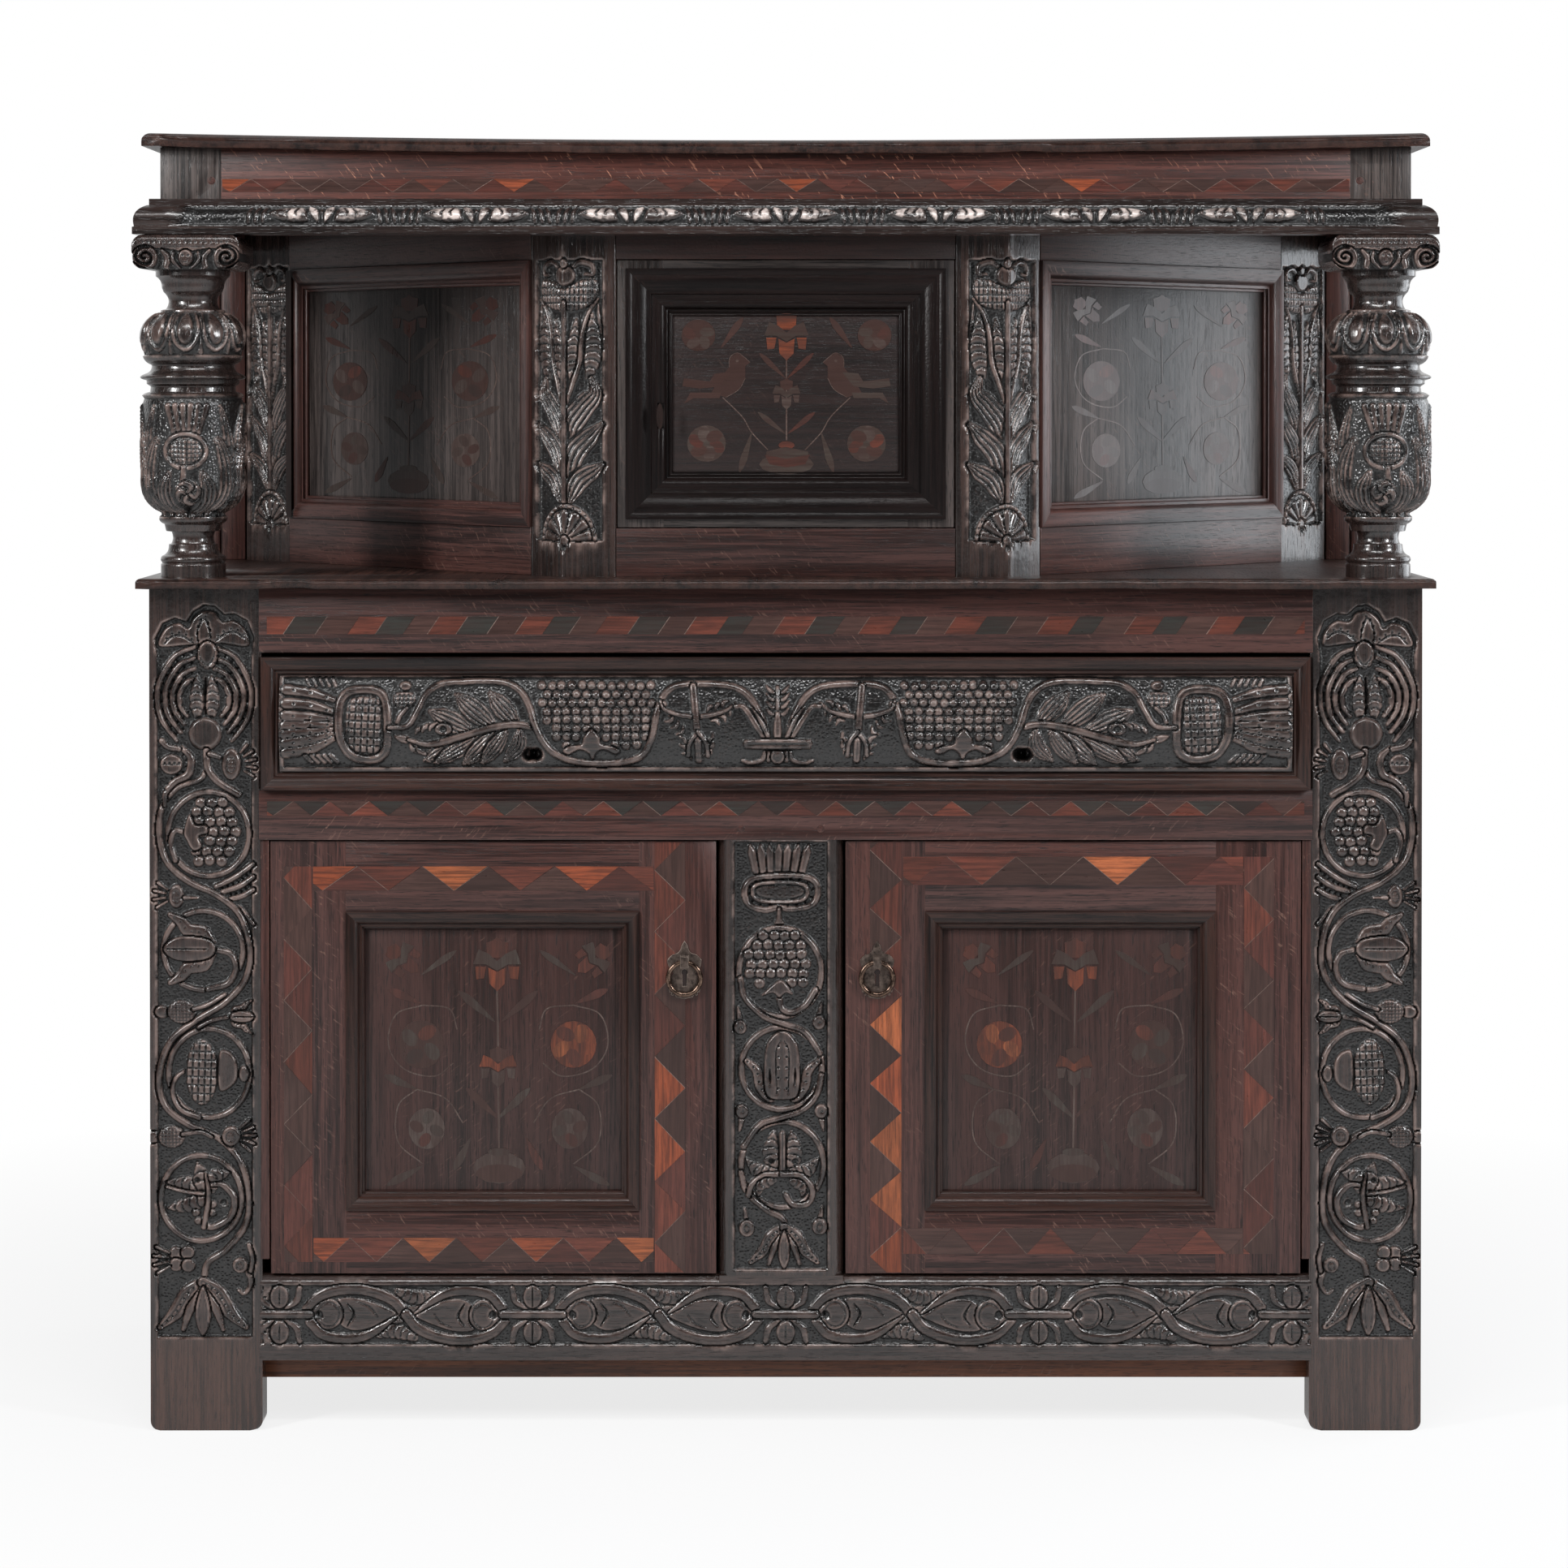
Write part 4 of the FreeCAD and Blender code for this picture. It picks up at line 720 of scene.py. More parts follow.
def carveDrawer(f):
    # Drawn on the left and turned over for the right, about a line a little left of the middle
    f.sink([-619, 1, 619, 1, 619, 113, -619, 113])
    for left, bend, right in ((16, 20, 29), (33, 35, 44), (48, 50, 53), (61, 60, 59), (72, 69, 65), (83, 78, 70),
            (95, 90, 76)):
        line = [-616, left, -585, bend, -555, right]
        f.stroke(line, 13.5, 0.95, (1, 0.95, 0.55), 0.1, 0.2)
        f.dotted(line, 21)
    for u in (-590, -582, -574, -566, -558):
        f.stroke([(u, 4), (u + 4, 12)], 5, 0.7)
        f.stroke([(u - 2, 98), (u + 6, 106)], 6, 0.6)
    ring = [-549, 36, -539, 20, -517, 16, -498, 21, -491, 40, -490, 66, -491, 88, -501, 101, -519, 103, -537, 96,
        -549, 72]
    f.stroke(ring, 11, 0.95, closed=True, veins=(0,), cut=0.8)
    head = [-540, 40, -532, 26, -504, 25, -497, 40, -496, 80, -504, 95, -524, 96, -540, 80]
    f.patch(head, 0.8, 3, 0.25)
    f.hatch(head, (8, 10), 2.6, 3, 1.1)
    f.patch([-481, 21, -458, 21, -459, 37, -480, 37], 0.8, 2)
    f.hatch([-482, 20, -457, 20, -457, 38, -482, 38], (5.4, 5.4), 2.4, 0, 0.9, False)
    f.patch(oval(-468, 12, 8, 6), 0.9, 2)
    f.stroke([-478, 58, -474, 48, -466, 39], 6, 0.8)
    # Acanthus leaf under the first bend of the vine
    for line, wide in (([-386, 68, -410, 56, -437, 43], 29), ([-358, 62, -382, 43, -405, 23], 29),
            ([-330, 59, -349, 38, -364, 21], 27), ([-404, 80, -424, 92, -444, 104], 25),
            ([-376, 74, -407, 93, -432, 107], 22), ([-358, 70, -377, 91, -396, 108], 24),
            ([-344, 68, -358, 88, -374, 107], 22), ([-327, 66, -329, 86, -346, 104], 22)):
        f.feather(line, wide, 0.95, 5)
    for u, v, low, high in ((-455, 70, -445, 62), (-447, 68, -437, 59), (-438, 66, -429, 58), (-462, 84, -452, 94),
            (-454, 87, -444, 96)):
        f.stroke([(u, v), ((u + low) / 2 - 3, (v + high) / 2), (low, high)], 7, 0.85, (0.5, 1, 0.7))
    f.patch(oval(-421, 65, 11, 8), 0.9, 2)
    f.punch([-421, 65], 4.5, 5)
    f.patch([-482, 73, -470, 72, -458, 77, -466, 83, -476, 80], 0.9, 2)
    f.stroke([-464, 78, -442, 84, -419, 80, -396, 73, -361, 63, -331, 59, -308, 64], 9.5, 1.05, (0.5, 1, 1, 1, 0.9))
    # Grapes over a three-pointed leaf
    draw = np.random.default_rng(3)
    for row in range(8):
        low, high = -306 + max(0, row - 3) * 6, -156 - max(0, row - 5) * 10
        for u in np.arange(low + 6 + 6 * (row % 2), high - 4, 12.2):
            if math.hypot((u + 239) / 1.6, row * 10.4 - 76) > 15:
                f.balls([(u + draw.uniform(-1, 1), 12 + row * 10.4 + draw.uniform(-0.8, 0.8))], 5.8, 0.3, 0.65)
    f.patch([-239, 64, -229, 74, -226, 83, -212, 86, -203, 92, -210, 97, -224, 91, -233, 96, -238, 107, -243, 96,
        -254, 91, -268, 97, -275, 91, -266, 85, -252, 83, -249, 74], 1, 2.4)
    vine = [-488, 63, -465, 61, -453, 42, -442, 22, -425, 10, -400, 7, -372, 6, -345, 8, -326, 19, -315, 38, -308, 61,
        -296, 84, -280, 98, -250, 107, -205, 107, -176, 97, -164, 72, -158, 42, -148, 21, -130, 11, -90, 10, -62, 14,
        -44, 26, -30, 50, -22, 76]
    f.stroke(vine, 9, 1.05, (0.7, 1, 1, 1, 1, 1, 1), 0.45)
    # Hanging spray: scalloped arms on both sides of a stem and a scalloped leaf under them
    def scallops(spots, long, wide):
        for u, v, angle in spots:
            f.stroke(turned([(-long / 2, 2.5), (0, -1), (long / 2, 2.5)], u, v, angle), wide, 0.85, (0.5, 1, 0.4))
    scallops([(-150, 34, 60), (-146, 43, 40), (-142, 54, 150), (-135, 61, 140), (-128, 68, 130)], 13, 6)
    scallops([(-93, 38, -30), (-84, 36, -40), (-76, 33, -50), (-70, 42, 50), (-77, 50, 35), (-86, 55, 25)], 11, 6)
    scallops([(-125, 78, 60), (-124, 88, 50), (-120, 97, 35), (-91, 76, 120), (-91, 86, 130), (-95, 96, 145)], 13,
        6.5)
    f.stroke([-112, 50, -132, 47, -150, 40, -154, 30], 7, 0.95, (1, 1, 0.8, 0.4))
    f.stroke([-108, 50, -90, 47, -74, 42, -62, 33], 7, 0.95, (1, 1, 0.8, 0.5))
    f.stroke([-114, 12, -110, 55, -107, 103], 9, 1, veins=(0,), cut=1.1)
    for end in (-118, -98):
        f.stroke([(-108, 68), (end, 82), (end + (end > -108) * 4 - 2, 98)], 6, 0.7)
    # Lily over a bar in the middle
    f.stroke([-26, 78, -40, 54, -52, 38, -62, 37], 8, 0.9, (0.7, 1, 0.9, 0.7), veins=(0,))
    f.stroke([-20, 78, -31, 54, -42, 38], 7, 0.9, (0.8, 1, 0.3))
    for v in (16, 25, 34, 43):
        f.stroke([(-11, v + 5), (-18, v + 3), (-24, v - 4)], 6, 0.8, (0.6, 1, 0.4))
    f.patch([-14, 78, -15, 58, -10, 36, -4, 58, -6, 78], 0.95, 2)
    f.stroke([-10, 14, -10, 40], 5, 0.8)
    f.stroke([-24, 92, -30, 104, -44, 107, -53, 104], 7, 0.85, (1, 0.9, 0.6))
    f.stroke([-20, 92, -21, 104], 6, 0.8)
    f.patch(oval(-10, 99, 9, 10), 0.9, 2)
    f.groove(oval(-10, 99, 4.5, 5.5), 2, 1.2, (1, 1), True)
    f.patch([-51, 77, -10, 76, -2, 76, -2, 91, -10, 91, -51, 90, -54, 83], 1, 3, smooth=False)
    f.groove([-46, 83, -4, 83], 4, 1.6, (0.6, 1, 1))
    f.punch([-316, 97, -308, 97], 8, 15)
    columns = f.columns
    source = np.interp(columns, (-10, 300, 623), (-10, -320, -623))
    right = columns > -10
    for row in f.h:
        row[right] = np.interp(source[right], columns, row)


def carveRail(f, half=636):
    f.sink([(-half, 1), (half, 1), (half, 75), (-half, 75)])
    period = 313.0

    def both(draw, points, *rest, **more):
        # The knot looks the same when it is turned half round between two bars
        for bar in (-3, -2, -1, 0, 1, 2):
            for spin in (1, -1):
                line = [((bar + 0.5) * period + spin * (u - period / 2), 38 + spin * (v - 38))
                    for u, v in pairs(points)]
                if max(u for u, v in line) > -half and min(u for u, v in line) < half:
                    draw(line, *rest, **more)

    both(f.patch, [70, 20, 98, 17, 140, 32, 158, 46, 128, 52, 90, 58, 70, 44], 0.8, 2.0)
    both(f.groove, [84, 24, 92, 36, 84, 52], 5, 2.6)
    both(f.groove, [98, 22, 112, 28, 122, 40], 3, 1.4)
    both(f.patch, oval(59, 37, 20, 20), 0.9, 2.0)
    both(f.groove, oval(61, 37, 13, 15), 2.4, 1.4, (1, 1), True)
    both(f.punch, [49, 38], 5.5, 4.5)
    both(f.scaledLeaf, [146, 9, 170, 17, 204, 11], 18, 0.95, 7, 1.8)
    both(f.stroke, [38, 47, 54, 63, 84, 68, 112, 62, 148, 38], 13, 0.92, (1, 1, 1, 0.8, 0.2), 0.2)
    both(f.stroke, [33, 31, 50, 15, 76, 7, 108, 8, 140, 20, 156, 38], 14, 1, (0.8, 1, 1, 1, 1), 0.25, veins=(0.0,),
        cut=0.5)
    for bar in (-2, -1, 0, 1, 2):
        u = bar * period
        for spin in (-1, 1):
            for flip in (-1, 1):
                f.stroke(sided([8, 38 + spin * 8, 21, 38 + spin * 17, 25, 38 + spin * 33], flip, u), 9, 0.85,
                    (0.6, 1, 0.8))
            f.patch(oval(u, 38 + spin * 22, 12, 15), 0.9, 2.2)
            f.groove([(u, 38 + spin * 10), (u, 38 + spin * 34)], 3, 2)
        f.stroke([(u - 37, 38), (u + 37, 38)], 11, 1.05, top=0.5)


def carvePost(f, half):
    # Upright plant on both sides of u = 0: thistle head over, shell under
    f.sink([(-half, 2), (half, 2), (half, 350), (-half, 350)])
    wide = half / 50
    for side in (-wide, wide):
        f.stroke(sided([12, 12, 22, 5, 36, 9, 37, 20, 28, 20], side), 8, 0.9, (0.7, 1, 1, 0.8, 0.5))
        f.stroke(sided([44, 56, 46, 90, 44, 128], side), 7, 0.6, (0.3, 1, 0.4))
        f.scaledLeaf(sided([33, 146, 38, 112, 35, 66], side), 22 * wide, 0.85, 8, 2.2)
        f.scaledLeaf(sided([12, 150, 13, 112, 17, 76], side), 18 * wide, 0.85, 7, 2.2)
        f.stroke(sided([4, 182, 12, 156, 21, 128, 24, 95, 32, 68, 44, 50], side), 7 * wide, 1,
            (0.6, 1, 1, 0.9, 0.5))
        f.feather(sided([5, 248, 9, 210, 26, 184, 39, 168, 36, 150], side), 33 * wide, 0.95, 5)
        f.feather(sided([6, 278, 15, 243, 33, 222, 48, 206], side), 30 * wide, 0.95)
        f.feather(sided([8, 302, 20, 277, 38, 264, 49, 256], side), 27 * wide, 0.95)
    head = sided([-40, 24, -45, 42, -32, 60, 0, 67, 32, 60, 45, 42, 40, 24, 20, 28, 0, 38, -20, 28], wide)
    f.patch(head, 0.8, 3, 0.25)
    f.hatch(head, (5.6, 9.5), 2.2, 0, 1.0)
    f.patch(oval(0, 22, 17 * wide, 14), 0.8, 4, 0.4)
    f.patch(oval(0, 7, 7, 7), 1, 3, 0.6 / f.deep)
    f.stroke([0, 56, 0, 304], 9, 1.1, top=0.5)
    radius = 40 * wide
    arch = [(radius * math.cos(a), 350 - 43 * math.sin(a)) for a in np.linspace(0.05, math.pi - 0.05, 9)]
    f.patch([(-radius, 350)] + arch[::-1] + [(radius, 350)], 0.35, 1.5, smooth=False)
    for angle in (-168, -142, -116, -90, -64, -38, -12):
        f.stroke(turned([(6, 0), (20 * wide, 0), (31 * wide + 2, 0)], 0, 350, angle), 15 * wide, 0.9, (0.3, 0.8, 1),
            0.6, 0.3)
    f.stroke(arch, 6, 0.9)
    f.dotted(arch, 9)
    f.patch(oval(0, 350, 8, 8), 0.9, 3)


def carveLowerCup(f, girth):
    period = girth / 3
    for repeat in (-1.5, -0.5, 0.5, 1.5):
        for flip in (-1, 1):
            u = repeat * period
            f.feather(sided([0, 148, 3, 100, 11, 46, 22, 12], flip, u), 22, 0.9, 3)
    for repeat in (-1, 0, 1):
        u = repeat * period
        for flip in (-1, 1):
            f.feather(sided([36, 149, 54, 124, 57, 86, 44, 54, 38, 54], flip, u), 29, 0.95)
            f.feather(sided([8, 150, 26, 136, 30, 112, 21, 88], flip, u), 27, 1)
        for top, low in ((-27, -15), (-17, -10), (-7, -4), (3, 1), (13, 7), (23, 13)):
            f.stroke([(u + top, 12), (u + low, 47)], 9, 0.9, (1, 0.75), 0.3, 0.2)
        head = oval(u, 64, 27, 20, count=8)
        f.stroke(head, 6, 0.9, closed=True)
        inner = oval(u, 64, 22, 16)
        f.patch(inner, 0.75, 2, 0.2)
        f.hatch(inner, (5.2, 5.2), 1.8, 0, 0.9)
        f.stroke([(u + 2, 84), (u + 3, 98)], 8, 1)
        f.patch(oval(u - 3, 115, 18, 18), 0.55, 2)
        for spin in (0, 90, 180, 270):
            f.stroke(turned([2, 0, 9, -4, 14, 3, 12, 10], u - 3, 115, spin), 8, 1, (0.5, 1, 1, 0.4))


def carveUpperCup(f, girth, count=10):
    period = girth / count
    wide = period / 38
    for repeat in range(-count // 2, count // 2 + 1):
        u = repeat * period
        f.stroke(sided([-13, 2, -16, 26, -12, 46, 0, 55, 12, 46, 16, 26, 13, 2], wide, u), 5, 0.8)
        f.patch(sided([0, 1, 8, 14, 10.5, 32, 7, 45, 0, 49, -7, 45, -10.5, 32, -8, 14], wide, u), 0.55, 3, 0.75)
        f.stroke([(u + period / 2, 5), (u + period / 2, 36)], 6, 0.7, (0.4, 1, 0.4))
        f.stroke([(u + period / 2, 42), (u + period / 2, 58)], 7, 0.7, (0.3, 1))


def carveFrieze(f, half, period=189.5):
    # In every repeat two winged lobes in the middle, a leaf on either side and gouges between the leaves
    first = -math.floor(half / period)
    for repeat in range(first, -first + 1):
        u = repeat * period
        if abs(u) > half - 10:
            continue
        for flip in (-1, 1):
            f.patch(sided([2, 12, 6, 6, 17, 3, 16, 12, 9, 21, 3, 25], flip, u), 1.1, 3, 1.2 / f.deep)
            f.punch([(u + flip * 8, 10)], 1.4, 2.6)
            f.patch(sided([20, 4, 34, 3, 52, 5, 66, 13, 52, 21, 34, 24, 18, 23, 15, 20], flip, u), 0.9, 4,
                1.4 / f.deep)
            for at, high in ((27, 7), (38, 8)):
                f.groove(sided([at, high, at + 5, high + 5, at + 3, high + 10], flip, u), 2.6, 2.4)
                f.groove(sided([at + 2, 23, at + 7, 19], flip, u), 2.6, 2.2)
            f.punch([(u + flip * 56, 13)], 1.5, 2.8)
            for at in (70, 79, 88):
                f.stroke(sided([at - 4, 3, at, 10, at + 2, 23], flip, u), 7, 1, (0.4, 1, 0.7), 0.7)
        f.patch(oval(u, 9, 3, 5), 0.7, 2, 0.4 / f.deep)


# Finishes

class Finish:
    # A material and short ways to add its nodes
    def __init__(self, name):
        self.material = bpy.data.materials.new(name)
        self.material.use_nodes = True
        self.nodes, self.links = self.material.node_tree.nodes, self.material.node_tree.links
        self.nodes.clear()
        self.shader = self.nodes.new("ShaderNodeBsdfPrincipled")
        self.output = self.nodes.new("ShaderNodeOutputMaterial")
        self.links.new(self.shader.outputs["BSDF"], self.output.inputs["Surface"])

    def give(self, socket, value):
        if isinstance(value, (int, float)):
            socket.default_value = value
        elif isinstance(value, tuple):
            socket.default_value = value + (1.0,) if len(value) == 3 and socket.type == "RGBA" else value
        else:
            self.links.new(value, socket)

    def set(self, name, value):
        self.give(self.shader.inputs[name], value)

    def read(self, name, output="Fac"):
        node = self.nodes.new("ShaderNodeAttribute")
        node.attribute_name = name
        return node.outputs[output]

    def where(self):
        return self.nodes.new("ShaderNodeTexCoord").outputs["Object"]

    def stretch(self, vector, size, move=(0, 0, 0), turn=0.0):
        node = self.nodes.new("ShaderNodeMapping")
        node.inputs["Scale"].default_value = size
        node.inputs["Location"].default_value = move
        node.inputs["Rotation"].default_value = (0, 0, turn)
        self.links.new(vector, node.inputs["Vector"])
        return node.outputs["Vector"]

    def noise(self, vector, scale=1.0, detail=3.0, rough=0.6, distort=0.0):
        node = self.nodes.new("ShaderNodeTexNoise")
        for name, value in (("Scale", scale), ("Detail", detail), ("Roughness", rough), ("Distortion", distort)):
            node.inputs[name].default_value = value
        self.links.new(vector, node.inputs["Vector"])
        return node.outputs["Fac"]

    def steps(self, value, low, high, toLow=0.0, toHigh=1.0):
        node = self.nodes.new("ShaderNodeMapRange")
        for name, number in (("From Min", low), ("From Max", high), ("To Min", toLow), ("To Max", toHigh)):
            node.inputs[name].default_value = number
        self.links.new(value, node.inputs["Value"])
        return node.outputs["Result"]

    def combine(self, kind, first, second):
        node = self.nodes.new("ShaderNodeMath")
        node.operation = kind
        self.give(node.inputs[0], first)
        self.give(node.inputs[1], second)
        return node.outputs["Value"]

    def times(self, *values):
        total = values[0]
        for value in values[1:]:
            total = self.combine("MULTIPLY", total, value)
        return total

    def plus(self, *values):
        total = values[0]
        for value in values[1:]:
            total = self.combine("ADD", total, value)
        return total

    def blend(self, share, first, second):
        node = self.nodes.new("ShaderNodeMix")
        node.data_type = "RGBA"
        ends = [socket for socket in node.inputs if socket.type == "RGBA"]
        self.give(node.inputs["Factor"], share)
        self.give(ends[0], first)
        self.give(ends[1], second)
        return [socket for socket in node.outputs if socket.type == "RGBA"][0]

    def bump(self, height, strength, distance=0.001):
        node = self.nodes.new("ShaderNodeBump")
        node.inputs["Strength"].default_value = strength
        node.inputs["Distance"].default_value = distance
        self.links.new(height, node.inputs["Height"])
        self.links.new(node.outputs["Normal"], self.shader.inputs["Normal"])
        self.links.new(node.outputs["Normal"], self.shader.inputs["Coat Normal"])

    def surface(self, output):
        self.links.new(output, self.output.inputs["Surface"])


def shade(red, green, blue):  # a colour as a picture shows it, to the linear value that a shader takes
    return tuple((c / 255 / 12.92) if c <= 10 else ((c / 255 + 0.055) / 1.055) ** 2.4 for c in (red, green, blue))


def makeOak(name, look):
    # Waxed oak: fibres, pores, pale rays, polish that thins in streaks, rubbed corners and crests that also carry
    # painted highlights, dirt and painted shade in the hollows, painted shadow right under carved walls
    look = {key: shade(*value) if isinstance(value, tuple) else value for key, value in look.items()}
    oak = Finish(name)
    grain = oak.read("grain", "Vector")
    wearAndHighlight, reliefAndShade = oak.read("wearAndHighlight"), oak.read("reliefAndShade")

    def along(length, width, detail=3, distort=0.0, move=(0, 0, 0)):  # streaks this many to the metre
        return oak.noise(oak.stretch(grain, (length, width, width), move), 1.0, detail, 0.62, distort)

    fine, fibre, figure = along(11, 460), along(4.5, 170, 5), along(1.6, 46, 4)
    band = along(1.1, 15, 3, 0, (4, 1, 2))
    pores = oak.steps(along(50, 900, 1), 0.60, 0.68)
    askew = oak.stretch(oak.stretch(grain, (1, 1, 1), (3, 5, 7), 0.9), (55, 330, 330))  # the rays run aslant
    flecks = oak.times(oak.steps(oak.noise(askew, 1.0, 2, 0.6, 0.6), 0.63, 0.68),
        oak.steps(along(4, 9, 2, 0, (1, 8, 3)), 0.45, 0.62))
    streak = oak.plus(oak.times(fine, 0.3), oak.times(fibre, 0.4), oak.times(figure, 0.3))
    tinted = oak.times(oak.read("tone"), look["boards"])
    ends = [oak.blend(tinted, look[end], tuple(c * strength for c in look["board"]))
        for end, strength in (("dark", 0.45), ("light", 1.45))]
    wood = oak.blend(oak.steps(streak, 0.445, 0.56), *ends)
    wood = oak.blend(oak.steps(band, 0.42, 0.68, 0, look["bands"]), wood, look["band"])
    wood = oak.blend(oak.times(flecks, look["rays"]), wood, look["ray"])
    wood = oak.blend(oak.times(pores, look["pores"]), wood, look["pore"])
    # Low places darken towards the hollow colour: dirt in the carving's ground, and painted shade there and under the
    # frieze
    hollow, corner = oak.steps(reliefAndShade, 0.1, 0.75, 1, 0), oak.steps(reliefAndShade, -0.5, 0.1, 1, 0)
    wood = oak.blend(oak.times(hollow, look["dirtAndShade"]), wood, look["hollow"])
    # Painted shadow: nearly black right under the carving's walls
    wood = oak.blend(oak.times(corner, 0.9), wood, (0.0015, 0.001, 0.001))
    # Crests and arrises turn pale: wear on plain boards, on the carving also a painted highlight
    rub = oak.noise(oak.stretch(grain, (1, 1, 1), (9, 2, 4)), 46.0, 4)
    wood = oak.blend(oak.times(wearAndHighlight, oak.steps(rub, 0.42, 0.6), look["rub"]), wood, look["worn"])
    oak.set("Base Color", wood)
    rough = oak.plus(oak.steps(band, 0.3, 0.7, look["gloss"] - 0.03, look["gloss"] + 0.06), oak.times(fine, 0.08),
        oak.times(pores, 0.12), oak.times(corner, 0.3))
    oak.set("Roughness", rough)
    oak.set("Specular IOR Level", look["shine"])
    oak.set("Coat Weight", look["wax"])
    oak.set("Coat Roughness", 0.13)
    punched = oak.nodes.new("ShaderNodeTexVoronoi")  # the frosting punched into a carving's ground
    punched.inputs["Scale"].default_value = 270
    oak.links.new(grain, punched.inputs["Vector"])
    frosting = oak.times(oak.steps(punched.outputs["Distance"], 0.1, 0.6), hollow, look["frosting"])
    height = oak.plus(oak.times(fibre, 0.5), oak.times(fine, 0.35), oak.times(pores, -0.35), frosting,
        oak.times(rub, look["dents"]))
    oak.bump(height, look["texture"], 0.0003)
    return oak.material


# The carving's pale grey worn colour is partly wear, partly painted highlight on its crests
carvedLook = {"dark": (20, 16, 15), "light": (50, 39, 36), "board": (60, 39, 31), "boards": 0.8,
    "band": (56, 38, 34), "bands": 0.3, "ray": (60, 44, 38), "rays": 0.2,
    "pore": (6, 5, 5), "pores": 0.7, "hollow": (8, 7, 7), "dirtAndShade": 0.96,
    "worn": (132, 112, 105), "rub": 0.7, "gloss": 0.2, "shine": 0.5, "wax": 0.5, "texture": 0.8,
    "frosting": 1.9, "dents": 2.0}
# Painted highlight: the grey-white worn colour stands for the lamps' gleam on the frieze's masks
paintedGlintLook = dict(carvedLook, light=(44, 36, 34), worn=(184, 170, 164), rub=1.0, dents=1.2)
frameLook = dict(carvedLook, dark=(30, 20, 19), light=(74, 50, 46), board=(60, 36, 32), boards=0.4,
    band=(82, 47, 40), bands=0.45, ray=(112, 84, 74), rays=0.6, pore=(10, 7, 7),
    pores=0.75, worn=(104, 74, 62), rub=0.5, gloss=0.3, shine=0.36, wax=0.04, texture=0.6, dents=0.6,
    frosting=0.8)
panelLook = dict(frameLook, dark=(34, 23, 21), light=(61, 41, 38), board=(46, 30, 27), boards=0.4,
    band=(60, 36, 32), bands=0.5, rays=0.3, gloss=0.33)
friezeLook = dict(frameLook, dark=(38, 21, 18), light=(86, 51, 44), board=(70, 35, 29), rays=1.0,
    ray=(168, 116, 94), band=(84, 45, 37))
# A neutral grey oak, partly own colour and partly painted sheen for the reflections that grey the upper door's frame,
# the canted panels and the frieze's corner blocks
sheenGreyLook = dict(frameLook, dark=(26, 22, 21), light=(78, 70, 67), board=(60, 52, 50), rays=0.3,
    band=(66, 56, 53), pores=0.9)
innerLook = dict(frameLook, dark=(66, 46, 34), light=(112, 82, 60), board=(96, 64, 44), boards=0.6,
    band=(82, 56, 42), ray=(138, 106, 80), pore=(46, 32, 24), hollow=(46, 34, 26),
    worn=(140, 108, 82), gloss=0.6, shine=0.2, wax=0.0)
mouldingLook = dict(frameLook, dark=(14, 10, 10), light=(54, 36, 31), board=(40, 24, 20),
    band=(58, 36, 30), gloss=0.26, shine=0.3, rays=0.1)
# Painted shade: a darker moulding oak for the upper door's moulding in the recess under the frieze
paintedShadeLook = dict(mouldingLook, light=(34, 25, 24), band=(34, 24, 22), shine=0.12, wax=0.0)
bearerLook = dict(frameLook, dark=(46, 27, 18), light=(104, 62, 38), board=(84, 46, 26),
    band=(110, 60, 34))
carvedOak, frameOak = makeOak("carvedOak", carvedLook), makeOak("frameOak", frameLook)
panelOak, friezeOak = makeOak("panelOak", panelLook), makeOak("friezeOak", friezeLook)
mouldingOak, innerOak = makeOak("mouldingOak", mouldingLook), makeOak("innerOak", innerLook)
sheenGreyOak, paintedGlintOak = makeOak("sheenGreyOak", sheenGreyLook), makeOak("paintedGlintOak", paintedGlintLook)
bearerOak, paintedShadeOak = makeOak("bearerOak", bearerLook), makeOak("paintedShadeOak", paintedShadeLook)


def makeInlay(name, strength):
    # Slips of coloured wood: each slip's own colour, with fine grain, scratches and dulled polish
    slip = Finish(name)
    grain = slip.read("grain", "Vector")
    fibre = slip.noise(slip.stretch(grain, (14, 300, 300)), 1.0, 5, 0.7, 0.3)
    dull = slip.noise(slip.stretch(grain, (14, 60, 60)), 1.0, 5, 0.7)
    colour = slip.blend(slip.steps(fibre, 0.4, 0.58, 0.6, 0), slip.read("slip", "Color"), (0.01, 0.005, 0.004))
    colour = slip.blend(slip.steps(dull, 0.4, 0.62, 1 - strength, 1.3 - strength), colour, shade(50, 33, 29))
    slip.set("Base Color", colour)
    slip.set("Roughness", slip.steps(dull, 0.3, 0.7, 0.26, 0.4))
    slip.set("Specular IOR Level", 0.4)
    slip.bump(fibre, 0.3, 0.0002)
    return slip.material


inlayWoods, fadedWoods = makeInlay("inlayWoods", 0.8), makeInlay("fadedWoods", 0.42)


def makeMetal(name, look):
    look = {key: shade(*value) if isinstance(value, tuple) else value for key, value in look.items()}
    metal = Finish(name)
    patina, pits = metal.noise(metal.where(), 180.0, 5, 0.65), metal.noise(metal.where(), 900.0, 3)
    colour = metal.blend(metal.steps(patina, 0.35, 0.65), look["dark"], look["light"])
    colour = metal.blend(metal.steps(pits, 0.58, 0.72, 0, 0.6), colour, look["rust"])
    # Worn edges turn pale: bare iron, and a painted highlight along the plates' arrises
    metal.set("Base Color", metal.blend(metal.times(metal.read("wearAndHighlight"), 0.8), colour, look["edge"]))
    metal.set("Metallic", look["metal"])
    metal.set("Roughness", metal.steps(patina, 0.3, 0.7, look["gloss"], look["gloss"] + 0.2))
    metal.bump(pits, 0.25, 0.0002)
    return metal.material


